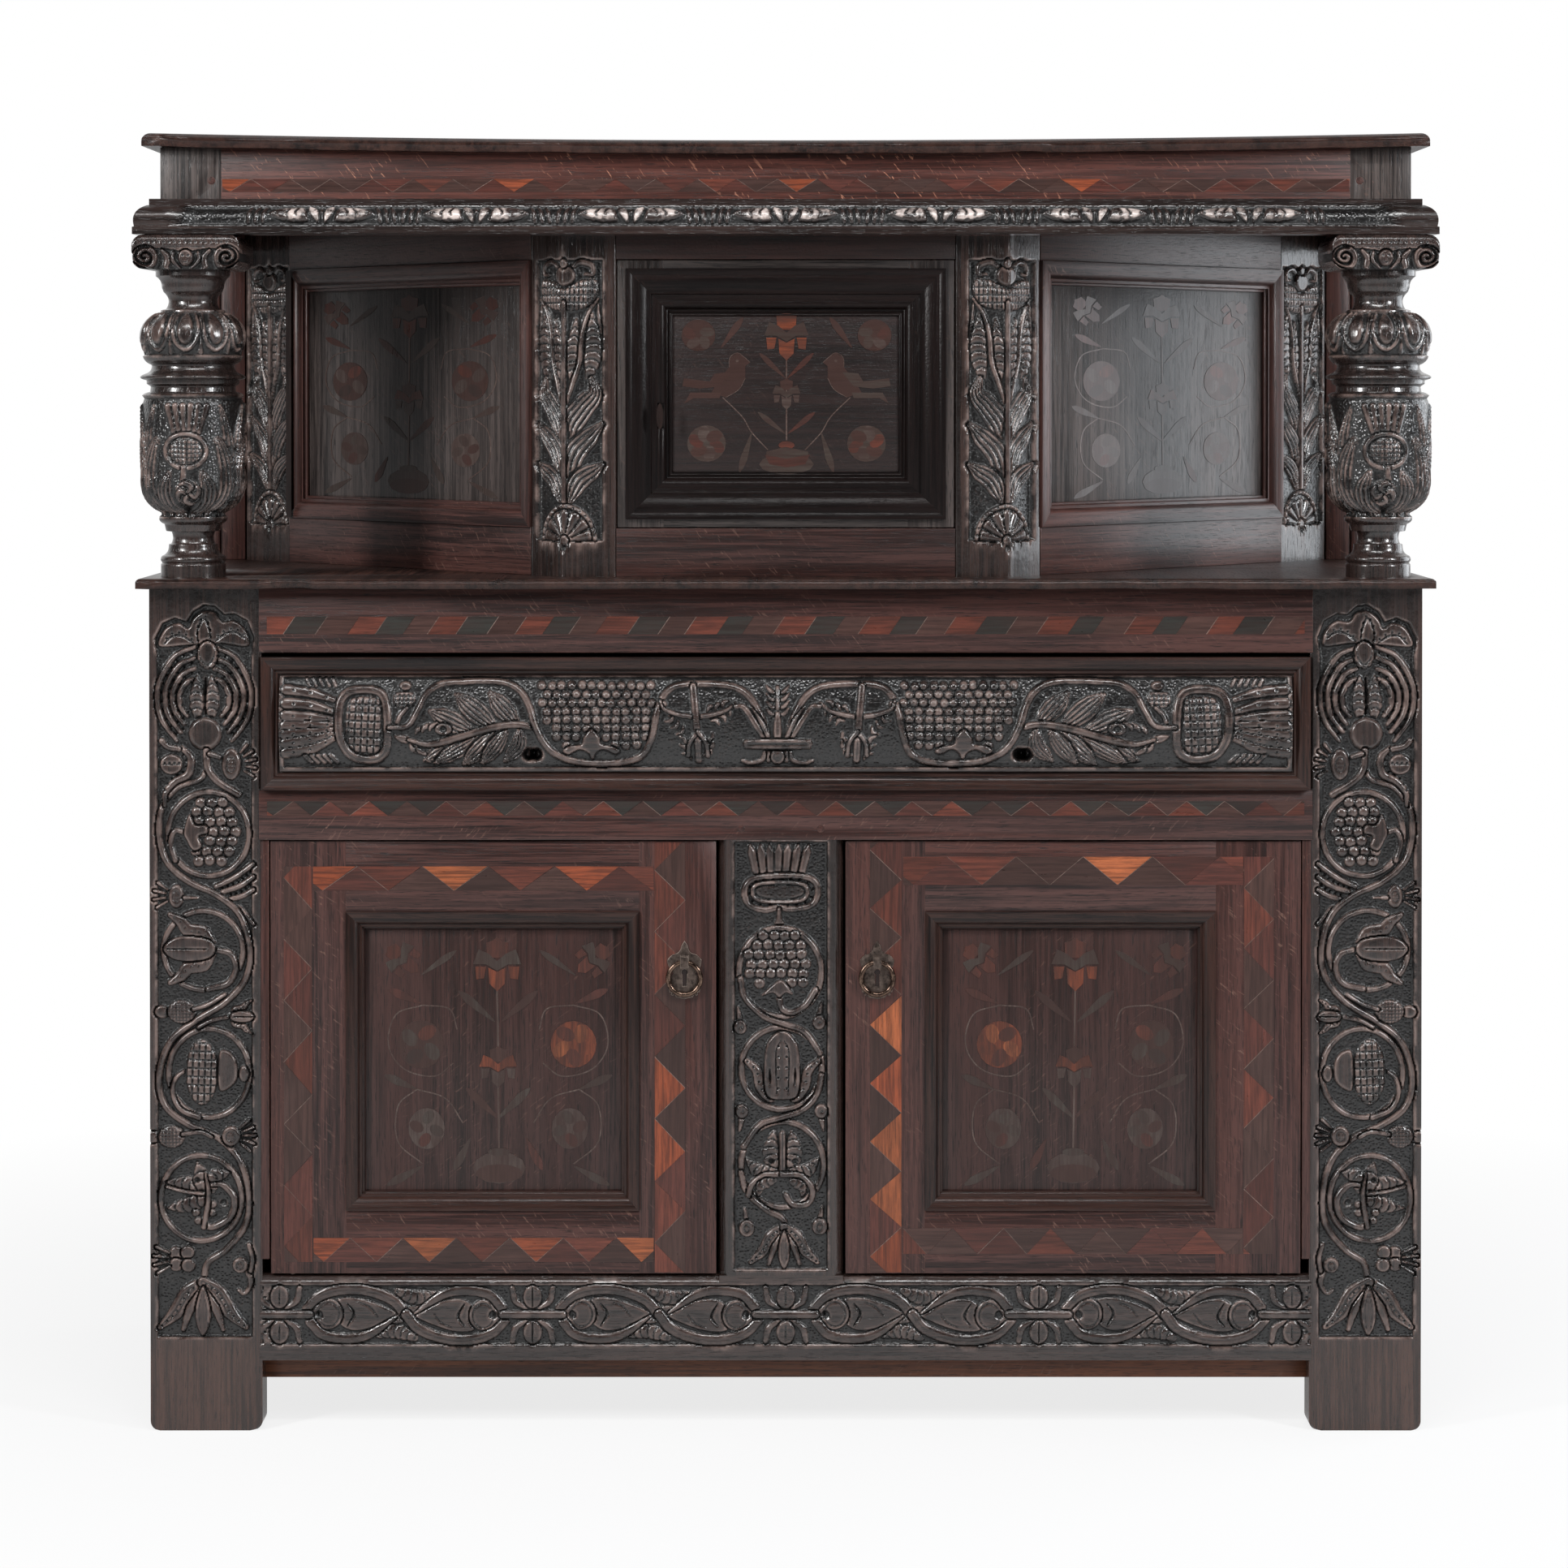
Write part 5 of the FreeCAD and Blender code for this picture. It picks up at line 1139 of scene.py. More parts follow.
ironFinish = makeMetal("darkIron", {"dark": (62, 54, 50), "light": (112, 98, 90), "rust": (60, 42, 34),
    "edge": (190, 176, 164), "metal": 0.85, "gloss": 0.32})
bronzeFinish = makeMetal("brownBronze", {"dark": (60, 46, 40), "light": (128, 106, 92),
    "rust": (58, 40, 32), "edge": (190, 160, 130), "metal": 0.95,
    "gloss": 0.14})
print("finishes made")


# The lower case's carved boards

def worked(columns, rows, deep, carve, seed, *more):  # a field with its carving, eased and matted
    f = Field(columns, rows, deep)
    carve(f, *more)
    f.h = crisp(f.h)
    f.matted(seed)
    return f, f.u, f.v, f.h


def lowerStile(side):
    look = {"deep": 6.6, "half": 69.0, "middle": 717.5, "top": 1042.0, "fieldTop": 1019.0, "thick": 42.0,
        "arris": 2.6, "foot": 12.0}
    half, low, high = look["half"], look["fieldTop"], look["fieldTop"] - look["top"]
    columns = places((-half, -half + 5, 0.8), (-half + 5, -61, 1.5), (-61, 61, 1.2), (61, half - 5, 1.5),
        (half - 5, half, 0.8))
    columns = columns + (719 - look["middle"]) * (np.abs(columns) / half) ** 3
    rows = places((high, -8, 3.0), (-8, 908, 1.2), (908, low - 14, 8.0), (low - 14, low, 1.5))
    f, u, v, h = worked(columns, rows, look["deep"], carveStile, 11 + side)
    z = low - v
    face = f.deep - h + waves(u, v, 3 + side, 160, 0.3) + rounding(half - np.abs(u), look["arris"])
    x = side * look["middle"] - side * u * (1 - rounding(np.minimum(z, look["foot"]), look["foot"]) / half)
    name = "front_stile_" + ("left" if side < 0 else "right")
    piece, spots = boardSolid(name + "_carved", f, x, face, z, look["thick"], side > 0)
    finishCarving(piece, spots, f, "carcase", (name,), "upright", 5 + side)
    setAttribute(piece, "tone", np.clip((0.15 - coordinates(piece)[:, 2]) / 0.06, 0.1, 1))  # browner foot


def middleMuntin():
    look = {"deep": 6.2, "middle": -6.0, "half": 77.0, "low": 192.0, "high": 731.0, "fieldTop": 729.0, "thick": 30.0,
        "chamfer": 11.0}
    half = look["half"]
    columns = places((-half, -half + 11, 2.2), (-half + 11, -60, 1.5), (-60, 62, 1.2), (62, half - 11, 1.0),
        (half - 11, half, 2.2))
    rows = places((-2, 536, 1.2)) * (look["high"] - look["low"]) / 538.0
    rows = rows - rows[0] + look["fieldTop"] - look["high"]
    f, u, v, h = worked(columns, rows, look["deep"], carveMuntin, 21)
    face = np.maximum(f.deep - h + waves(u, v, 9, 120, 0.25), look["chamfer"] - half + np.abs(u))
    piece, spots = boardSolid("centre_muntin_carved", f, look["middle"] + u, face, look["fieldTop"] - v,
        look["thick"])
    finishCarving(piece, spots, f, "carcase", ("centre_muntin",), "upright", 8)


def drawerFront():
    look = {"deep": 6.2, "half": 646.0, "fieldHalf": 623.0, "low": 793.5, "high": 957.0, "fieldLow": 816.5,
        "fieldHigh": 934.0, "proud": 6.0, "rise": 12.0, "thick": 22.0}
    half, wide, high = look["half"], look["fieldHalf"], look["fieldHigh"]
    columns = places((-half, -wide - 0.4, 8), (-wide - 0.4, -wide, 0.4), (-wide, wide, 1.32), (wide, wide + 0.4, 0.4),
        (wide + 0.4, half, 8))
    tall = high - look["fieldLow"]
    rows = places((high - look["high"], -0.4, 8), (-0.4, 0, 0.4), (0, tall, 1.3), (tall, tall + 0.4, 0.4),
        (tall + 0.4, high - look["low"], 8))
    f, u, v, h = worked(columns, rows, look["deep"], carveDrawer, 31)
    inside = (np.abs(u) <= wide + 0.01) & (v >= -0.01) & (v <= tall + 0.01)
    cushion = -look["proud"] - look["rise"] * (1 - (np.clip(v / tall, 0, 1) * 2 - 1) ** 2)
    carved = cushion + np.maximum(f.deep - h, 0) + waves(u, v, 13, 150, 0.2)
    face = np.where(inside, np.maximum(carved, cushion), 0)
    piece, spots = boardSolid("drawer_front_carved", f, u, face, high - v, look["thick"])
    finishCarving(piece, spots, f, "drawer", ("drawer_front",), "across", 12)


def bottomRail():
    look = {"deep": 5.0, "half": 650.0, "low": 87.0, "high": 192.0, "fieldTop": 181.0, "thick": 30.0, "bevel": 9.0}
    columns = places((-look["half"], -638, 3), (-638, 638, 1.25), (638, look["half"], 3))
    high = look["fieldTop"] - look["high"]
    rows = places((high, high + look["bevel"], 3), (high + look["bevel"], 78, 1.25),
        (78, look["fieldTop"] - look["low"], 2.5))
    f, u, v, h = worked(columns, rows, look["deep"], carveRail, 41)
    face = f.deep - h + waves(u, v, 17, 150, 0.25)
    face = np.where(np.abs(u + 6) > 77, np.maximum(face, look["bevel"] - (v - high)), face)  # not at the muntin
    piece, spots = boardSolid("bottom_rail_carved", f, u, face, look["fieldTop"] - v, look["thick"])
    finishCarving(piece, spots, f, "carcase", ("bottom_rail",), "across", 14)


# The upper stage's carved posts; u runs round the arris from the flat front to the canted wall

canted = {"arris": (276.0, 16.0), "angle": math.atan2(500 - 16, 738 - 276), "thick": 30.0, "low": 1055.0,
    "high": 1585.0}


def cantedPlace(u, deepIn):  # a place on the right canted wall, u from the arris and deepIn behind its face
    c, s = math.cos(canted["angle"]), math.sin(canted["angle"])
    return canted["arris"][0] + u * c - deepIn * s, canted["arris"][1] + u * s + deepIn * c


def joinPieces(pieces, name, *nodes):
    clearSelection()
    for piece in pieces:
        piece.select_set(True)
    bpy.context.view_layer.objects.active = pieces[0]
    bpy.ops.object.join()
    pieces[0].name = name
    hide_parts(*nodes)


def plantPosts(node, look, columns, step, seeds, shape):
    # The same plant on two posts; shape gives (x, y) in front and behind, and the column where a post bends
    top = look["fieldTop"]
    rows = places((top - canted["high"], -3, 8), (-3, 353, step), (353, top - canted["low"], 5))
    pieces = []
    for side in (-1, 1):
        f, u, v, h = worked(columns, rows, look["deep"], carvePost, seeds[0] + side, look["half"])
        deepIn = np.maximum(f.deep - h + waves(u, v, seeds[1] + side, 120, 0.25), 0)
        (x, y), (backX, backY), bend = shape(u, deepIn)
        front, back = [toRow(np.stack([side * a, b, top - v], -1)).reshape(h.shape + (3,))
            for a, b in ((x, y), (backX, backY))]
        if side < 0:
            front, back, f.h = front[:, ::-1], back[:, ::-1], h[:, ::-1]
            bend = bend and len(columns) - 1 - bend
        piece, spots = carvedSolid(node + "_part", front, back, bend)
        finishCarving(piece, spots, f, "carcase", (), "upright", seeds[2] + side)
        pieces.append(piece)
    joinPieces(pieces, node + "_carved", node)


def frontPosts():
    look = {"deep": 6.4, "front": 66.5, "side": 61.5, "fieldTop": 1449.5, "half": 50.0}
    columns = places((-look["front"], -51, 2.0), (-51, 0, 1.2), (0, 51, 1.2), (51, look["side"], 2.0))
    x0, y0 = canted["arris"]
    mitre = canted["thick"] * math.tan(canted["angle"] / 2)

    def shape(u, deepIn):
        deepIn = deepIn + rounding(np.minimum(u + look["front"], look["side"] - u), 2.0)
        share = np.where(np.abs(u) < 8, 1 / (1 + np.exp(-u / 2.2)), (u > 0) * 1.0)
        cornerX, cornerY = cantedPlace(u, deepIn)
        x, y = (x0 + u) * (1 - share) + cornerX * share, (y0 + deepIn) * (1 - share) + cornerY * share
        backX, backY = cantedPlace(np.maximum(u, mitre), canted["thick"])
        backX = np.where(u <= 0, np.minimum(x0 + u, x0 - mitre), backX)
        return (x, y), (backX, np.where(u <= 0, y0 + canted["thick"], backY)), int(np.searchsorted(columns, -1e-6))

    plantPosts("upper_front_posts", look, columns, 1.2, (51, 23, 16), shape)


def rearStiles():
    look = {"deep": 6.4, "wide": 101.0, "long": 669.1, "fieldTop": 1455.0, "half": 45.0}
    half = look["wide"] / 2
    middle = look["long"] - half - 3

    def shape(u, deepIn):
        backX, backY = cantedPlace(middle + u, canted["thick"])
        return cantedPlace(middle + u, deepIn), (np.minimum(backX, 738), np.minimum(backY, 516)), None

    plantPosts("upper_rear_stiles", look, places((-half, -46, 2.2), (-46, 46, 1.3), (46, half, 2.2)), 1.3,
        (61, 27, 18), shape)


# Columns: height and radius shares as turned, each with the bulge of the curve that arrives there

column = {"x": 734.0, "y": 25.0, "low": 1055.0, "high": 379.0, "radius": 66.7, "deep": 5.0,
    "turning": ((0, .597, 0), (.042, .597, 0), (.047, .568, 0), (.069, .575, -.25), (.096, .455, .16),
                (.107, .45, 0), (.109, .405, 0), (.148, .4, .12), (.15, .5, 0), (.173, .53, 0), (.207, .6, -.3),
                (.33, .985, -.17), (.45, 1.0, 0), (.568, .995, 0), (.604, .79, -.2), (.622, .775, 0),
                (.63, .85, 0), (.642, .855, 0), (.664, .865, -.9), (.692, .76, .2), (.732, .937, -.16),
                (.872, .555, -.24), (.874, .495, 0), (.93, .54, .22), (.946, .575, 0), (.981, .685, .15),
                (1, .685, 0))}


def lengthAlong(line):  # how far along a line each of its points lies
    return np.concatenate([[0], np.cumsum(np.hypot(*np.diff(line, axis=0).T))])


def turnedProfile(step=1.4):
    # Points up the column's outline, evenly spaced, as (radius, height)
    line = []
    for up, out, bulge in column["turning"]:
        end = np.array([out * column["radius"], up * column["high"]])
        if line:
            last, chord = line[-1], end - line[-1]
            side = np.array([-chord[1], chord[0]]) * bulge
            line.extend(last + chord * t + side * 4 * t * (1 - t) for t in np.linspace(0, 1, 16)[1:])
        else:
            line.append(end)
    line = np.array(line)
    reach = lengthAlong(line)
    at = np.linspace(0, reach[-1], int(reach[-1] / step))
    return np.stack([np.interp(at, reach, line[:, 0]), np.interp(at, reach, line[:, 1])], 1)


def turnedColumn(side, count=260, girth=math.tau * 65):
    profile = turnedProfile()
    angles = np.linspace(0, math.tau, count, endpoint=False)
    heights = profile[:, 1] + column["low"]
    u = (angles / math.tau - 0.5) * girth
    h, carved = np.zeros((len(profile), count)), np.zeros((len(profile), count), bool)
    for high, low, around, tall, carve in ((1279.5, 1131.0, girth, 150, carveLowerCup),
            (1384.0, 1328.0, math.tau * 60, 60, carveUpperCup)):
        own = np.flatnonzero((heights < high) & (heights > low))[::-1]
        along = lengthAlong(profile[own])
        f = Field(u * around / girth, along * tall / along[-1], column["deep"])
        carve(f, around)
        f.h = crisp(f.h)
        f.matted(71 + side, (f.v > 2) & (f.v < f.v.max() - 2))
        h[own] = f.h - f.deep
        carved[own] = True
    rise = np.gradient(profile, axis=0)
    rise /= np.maximum(np.linalg.norm(rise, axis=1, keepdims=True), 1e-9)
    radius = profile[:, None, 0] + np.minimum(h, 0) * rise[:, None, 1]
    height = profile[:, None, 1] - np.minimum(h, 0) * rise[:, None, 0]
    facing = (angles - math.pi) * side - math.pi / 2
    points = toRow(np.stack([side * column["x"] + radius * np.cos(facing), column["y"] + radius * np.sin(facing),
        height + column["low"]], -1)).reshape(h.shape + (3,))
    clearSelection()
    bpy.ops.mesh.primitive_cylinder_add(vertices=count, radius=0.06, depth=column["high"] / 1000, end_fill_type="NGON")
    piece = bpy.context.active_object
    tall = coordinates(piece)[edgePairs(piece), 2]
    editMesh(piece, np.abs(tall[:, 0] - tall[:, 1]) > 0.01, "EDGE",
        lambda: bpy.ops.mesh.subdivide_edgering(number_cuts=len(profile) - 2, interpolation="LINEAR"))
    start = coordinates(piece)
    row = np.rint((start[:, 2] / (column["high"] / 1000) + 0.5) * (len(profile) - 1)).astype(int)
    spoke = np.rint((np.arctan2(start[:, 1], start[:, 0]) % math.tau) / math.tau * count).astype(int) % count
    if side < 0:
        spoke = (-spoke) % count
    setCoordinates(piece, points[row, spoke])
    name = "column_left" if side < 0 else "column_right"
    piece.name = name + "_carved"
    # Painted shade in the column's hollows and painted highlight on its crests, besides dirt and wear
    reliefAndShade = np.where(carved, reliefAndShadeOf(h + column["deep"], column["deep"]), 1.0)
    setAttribute(piece, "reliefAndShade", reliefAndShade[row, spoke])
    setAttribute(piece, "wearAndHighlight", np.clip((h - softened(h, 4)) * 1.1, 0, 1)[row, spoke])
    grainBoards(piece, "upright", 31 + side)
    setAttribute(piece, "tone", np.zeros(len(start)))
    smooth(piece, 50)
    finishPiece(piece, "carcase", carvedOak, (name,))


for side in (-1, 1):
    lowerStile(side)
    turnedColumn(side)
middleMuntin()
drawerFront()
bottomRail()
frontPosts()
rearStiles()
print("carved boards done")


# Moulding under the frieze: (out, height) from its top edge down; the hollow of it is carved

def friezeMoulding():
    look = {"deep": 4.6, "half": 770.0, "low": 1477.0, "carvedHalf": 727.0}
    half, wide = look["half"], look["carvedHalf"]
    sides = ownBoards("frieze_moulding", "frieze_moulding_sides", lambda size: size[0] < 1)
    backTogether(sides)
    grainBoards(sides, "across", 3)
    smooth(sides)
    finishPiece(sides, "carcase", carvedOak)
    # The outline runs down the front: top fillet, swelling hollow, bottom fillet
    turn = np.linspace(0, 1, 27)[:, None]
    a, b = np.array([14.1, 36.1]), np.array([27.9, 9.7])
    chord = b - a
    hollow = a + chord * turn + np.array([-chord[1], chord[0]]) * 0.22 * (4 * turn * (1 - turn))
    outline = np.vstack([[(12, 44), (12, 40), (12, 36.3)], hollow, [(28.2, 9.2), (30, 8.8), (30, 4.5), (30, 0)]])
    along = lengthAlong(hollow)
    columns = places((-half, -wide, 4), (-wide, wide, 1.35), (wide, half, 4))
    f = Field(columns, along * 27 / along[-1], look["deep"])
    carveFrieze(f, wide)
    carving = f.h - f.deep * (np.abs(f.u) < wide)
    h = np.zeros((len(outline), len(columns)))
    inner = np.clip(np.minimum(f.v, 27 - f.v) / 1.5, 0, 1)
    h[3:30] = np.minimum(softened(carving) * inner, 0.6)
    rise = np.gradient(outline, axis=0)
    rise /= np.linalg.norm(rise, axis=1, keepdims=True)
    out = outline[:, None, 0] + h * np.abs(rise[:, None, 1])
    up = outline[:, None, 1] + h * rise[:, None, 0]
    x = np.where(np.abs(columns) < wide, columns, columns * (half + outline[:, None, 0]) / half)
    front = toRow(np.stack([x, -out, look["low"] + up], -1)).reshape(h.shape + (3,))
    back = toRow(np.stack([np.clip(x, -half, half), np.zeros_like(x),
        look["low"] + np.broadcast_to(outline[:, None, 1], h.shape)], -1)).reshape(front.shape)
    piece, spots = carvedSolid("frieze_moulding_carved", front, back)
    f.h = h + f.deep
    paintedGlint = np.clip((f.h - 1.03 * f.deep) * 2.5, 0, 1)  # painted highlight: only the masks are made bright
    finishCarving(piece, spots, f, "carcase", (), "across", 33, paintedGlintOak, paintedGlint)
    joinPieces([piece, sides], "frieze_moulding_carved", "frieze_moulding")


def carveCapital(f):
    # A bolster that curls under into two scrolls, with a small mask between them
    f.h += f.deep
    f.h = np.where((np.abs(f.u) < 64) & (f.v > 19 + 2 * np.cos(f.u / 11)), 0, f.h)
    for flip in (-1, 1):
        f.patch(oval(flip * 50, 28, 16, 14.5, count=16), 1, 2.0, 0.5 / f.deep)
        spiral = [(flip * (50 + (13.5 - turn * 0.62) * math.cos(turn * 0.55 - 1.9)),
            28 + (12.5 - turn * 0.6) * math.sin(turn * 0.55 - 1.9)) for turn in range(19)]
        f.groove(spiral, 5.2, 5.0, (1, 1, 0.7))
        f.punch([flip * 50, 28], 2.2, 2.0)
        f.stroke([flip * 29, 20, flip * 22, 30, flip * 27, 41], 9, 0.8, (0.5, 1, 0.7))
        f.stroke([flip * 15, 22, flip * 16, 32, flip * 8, 42], 6, 0.8, (0.6, 1, 0.6))
    f.patch(oval(0, 29, 10, 11), 0.95, 3, 1.0 / f.deep)
    f.punch([-3.5, 26, 3.5, 26], 1.5, 2.4)
    f.groove([-3.5, 33, 0, 34.5, 3.5, 33], 1.8, 1.8)
    f.dotted([-56, 10, 56, 10], 6.5, radius=1.3, depth=1.8)
    f.groove([-60, 15.5, 60, 15.5], 1.6, 0.8, (1, 1))


def capitals():
    look = {"half": 66.0, "high": 43.0, "low": 1434.0, "corner": 15.0, "front": -35.0, "back": 85.0, "deep": 6.5}
    pieces = []
    for side in (-1, 1):
        f = Field(places((-look["half"], look["half"], 0.85)), places((0, look["high"], 0.85)), look["deep"])
        carveCapital(f)
        f.h = crisp(f.h)
        u, v, z = f.u, f.v, look["high"] - f.v
        half = look["half"] - rounding(np.minimum(z, v), look["corner"])
        face = look["front"] + np.maximum(f.deep - f.h, 0) + rounding(v, 9) + rounding(half - np.abs(u), 3) * 0.5
        piece, spots = boardSolid("capital", f, side * column["x"] + u * half / look["half"], face, look["low"] + z,
            look["back"] * 0.2)
        points = coordinates(piece)
        points[points[:, 1] > (look["back"] * 0.2 - 1) / 1000 - rowShift, 1] = look["back"] / 1000 - rowShift
        setCoordinates(piece, points)
        finishCarving(piece, spots, f, "carcase", (), "across", 35 + side)
        pieces.append(piece)
    joinPieces(pieces, "column_capitals_carved", "column_capitals")


friezeMoulding()
capitals()
print("moulding and capitals done")


# Inlay: slips of wood let in a hair proud of the boards, as polygons (x, z) with their colours

slipColours = {"orange": (146, 72, 44), "amber": (176, 98, 60), "rust": (104, 54, 42),
    "red": (88, 48, 41), "brown": (70, 49, 44), "black": (40, 40, 38), "green": (44, 47, 44),
    "plain": (64, 46, 42), "grey": (90, 82, 77), "pale": (118, 104, 97), "smoke": (68, 67, 62),
    "string": (128, 110, 102)}
slipColours = {name: shade(*colour) for name, colour in slipColours.items()}


def shrunk(outline, gap):  # drawn in a little all round, so the ground shows as a hairline
    points = pairs(outline)
    middle = points.mean(0)
    reach = np.maximum(np.linalg.norm(points - middle, axis=1, keepdims=True), 1e-6)
    return middle + (points - middle) * np.maximum(1 - gap / reach, 0.2)


def letIn(name, slips, place, body, thick=0.9, grain="long", seed=0, woods=None, gap=0.25, lift=0.0002):
    # place turns a slip's points into points on its board's face; each slip is its outline and its colour
    corners, faces, colours = [], [], []
    draw = np.random.default_rng(seed + 101)
    for count, (outline, colour) in enumerate(slips):
        points = np.asarray(place(shrunk(outline, gap)), float)
        points[:, 1] -= lift * count  # so that no two slips' faces fall together
        turn = np.roll(points, -1, axis=0)
        if (points[:, 0] * turn[:, 2] - turn[:, 0] * points[:, 2]).sum() < 0:
            points = points[::-1]
        faces.append(list(range(len(corners), len(corners) + len(points))))
        corners.extend(toRow(points))
        tint = np.array(slipColours.get(colour, colour)) * draw.uniform(0.75, 1.3)
        colours.extend([tuple(tint) + (1.0,)] * len(points))
    mesh = bpy.data.meshes.new(name)
    mesh.from_pydata([tuple(corner) for corner in corners], [], faces)
    piece = bpy.data.objects.new(name, mesh)
    bpy.context.collection.objects.link(piece)
    layer = mesh.attributes.new("slip", "FLOAT_COLOR", "POINT")
    layer.data.foreach_set("color", np.array(colours, np.float32).ravel())
    makeActive(piece)
    depth = piece.modifiers.new("depth", "SOLIDIFY")
    depth.thickness = thick / 1000
    depth.offset = -1
    bpy.ops.object.modifier_apply(modifier="depth")
    grainBoards(piece, grain, seed)
    return finishPiece(piece, body, woods or inlayWoods)


def zigzag(low, high, first, last, period, phase, under, over, seed, level=True):
    # A band of triangles between two lines: those on the low line take under's colours, the others over's
    draw = np.random.default_rng(seed)
    slips = []
    count = int((last - first) / period) + 3
    edge = first + phase - period
    for turn in range(count):
        a, b, c = edge, edge + period / 2 + draw.uniform(-2, 2), edge + period + draw.uniform(-1, 1)
        nextB = c + period / 2
        for outline, colours in (([(a, low), (c, low), (b, high)], under),
                ([(b, high), (c, low), (nextB, high)], over)):
            clipped = clipBand(outline, first, last)
            if len(clipped) > 2:
                if not level:
                    clipped = [(v, u) for u, v in clipped]
                slips.append((clipped, colours[turn % len(colours)]))
        for u, v, end in ((a, low, (b, high)), (b, high, (c, low))):
            if first < min(u, end[0]) and max(u, end[0]) < last and draw.uniform() < 0.65:
                fine = [(u - 0.5, v), (u + 0.5, v), (end[0] + 0.5, end[1]), (end[0] - 0.5, end[1])]
                slips.append((fine if level else [(q, p) for p, q in fine], "string"))
        edge = c
    return slips


def clipBand(outline, first, last):
    for limit, keep in ((first, 1), (last, -1)):
        found = []
        for (au, av), (bu, bv) in zip(outline, outline[1:] + outline[:1]):
            inA, inB = (au - limit) * keep >= 0, (bu - limit) * keep >= 0
            if inA:
                found.append((au, av))
            if inA != inB:
                t = (limit - au) / (bu - au)
                found.append((limit, av + (bv - av) * t))
        outline = found
        if len(outline) < 3:
            return []
    return outline


def slanted(low, high, first, last, wide, lean, cycle, seed):
    draw = np.random.default_rng(seed)
    slips, at, turn = [], first - lean, 0
    while at < last:
        step = wide * draw.uniform(0.85, 1.15)
        outline = clipBand([(at, low), (at + step, low), (at + step + lean, high), (at + lean, high)], first, last)
        if len(outline) > 2:
            slips.append((outline, cycle[turn % len(cycle)]))
        if first < at and at + lean < last and draw.uniform() < 0.6:
            slips.append(([(at - 0.5, low), (at + 0.5, low), (at + lean + 0.5, high), (at + lean - 0.5, high)],
                "string"))
        at += step
        turn += 1
    return slips


def onFace(y):  # the face of a board that stands at this depth
    return lambda points: [(x, y, z) for x, z in points]


proud = 0.3
warm, dusky = ("orange", "rust", "amber", "rust"), ("brown", "red", "brown", "plain")
letIn("top_rail_inlay", slanted(985, 1007, -640, 640, 35, 15, ("rust", "green", "brown"), 1), onFace(-proud),
    "carcase", grain="across")
letIn("drawer_rail_inlay", zigzag(761, 779, -640, 640, 48, 8, ("rust", "brown", "red"), ("green", "black", "brown"),
    2), onFace(-proud), "carcase", grain="across")
letIn("frieze_inlay", zigzag(1530, 1546, -694, 694, 50, 10, ("brown", "red", "brown"),
    ("orange", "red", "brown", "plain", "red", "rust", "brown"), 3), onFace(-proud), "carcase", grain="across")
doorFace = 3.5  # how far back the lower doors' faces stand
doorBands = {
    "left_door": ((668, 698, -584, -163, 82, 12, dusky, warm, 4, True),
        (208, 238, -584, -163, 66, 12, dusky, warm, 5, True),
        (-620, -585, 208, 698, 76, 20, dusky, ("rust", "red", "brown"), 6, False),
        (-162, -124, 195, 728, 77, 36, ("rust", "rust", "orange", "orange", "red", "rust", "rust"), dusky, 7, False)),
    "right_door": ((675, 710, 145, 565, 84, 12, dusky,
            ("rust", "rust", "brown", "amber", "red", "rust", "brown"), 8, True),
        (218, 250, 145, 565, 62, 30, ("rust", "brown", "red"), dusky, 9, True),
        (566, 603, 218, 710, 74, 8, ("rust", "red", "brown"), dusky, 10, False),
        (104, 143, 195, 728, 72, 20, dusky,
            ("orange", "amber", "amber", "orange", "amber", "rust", "rust", "red", "rust"), 11, False))}
for door, bands in doorBands.items():
    slips = [slip for band in bands for slip in zigzag(*band)]
    letIn(door + "_inlay", slips, onFace(doorFace - proud), door, seed=len(slips))
print("inlay let in")


# Marquetry: flowers, leaves, birds and vases in thin woods, drawn in tenths of a panel's width or so

def leafSlip(base, tip, wide, colour):
    (a, b), (c, d) = base, tip
    along, across = np.array([c - a, d - b]), np.array([d - b, a - c]) / math.hypot(c - a, d - b) * wide
    outline = [np.array(base) + along * s + across * t for s, t in ((0, 0), (0.3, 0.3), (0.7, 0.5), (1, 0.1),
        (0.75, -0.35), (0.35, -0.25))]
    return [(smoothLine(outline, True)[:-1], colour)]


def stemSlip(points, wide=0.035, colour="pale"):
    line = smoothLine(points)
    way = np.gradient(line, axis=0)
    way /= np.linalg.norm(way, axis=1, keepdims=True)
    side = np.stack([-way[:, 1], way[:, 0]], 1) * wide
    return [([a, b, c, d], colour) for a, b, c, d in zip(line[:-1] + side[:-1], line[1:] + side[1:],
        line[1:] - side[1:], line[:-1] - side[:-1])]


def wheelSlip(a, b, ra, rb, colours, petals=5, spin=0):
    slips = [(oval(a, b, ra, rb, count=20), colours[0])]
    for k in range(petals):
        angle = spin + 360 * k / petals
        spot = (a + ra * 0.56 * math.cos(math.radians(angle)), b + rb * 0.56 * math.sin(math.radians(angle)))
        slips.append((oval(*spot, ra * 0.43, ra * 0.3, angle + 25, 12),
            colours[1 + k % (len(colours) - 1)]))
    return slips


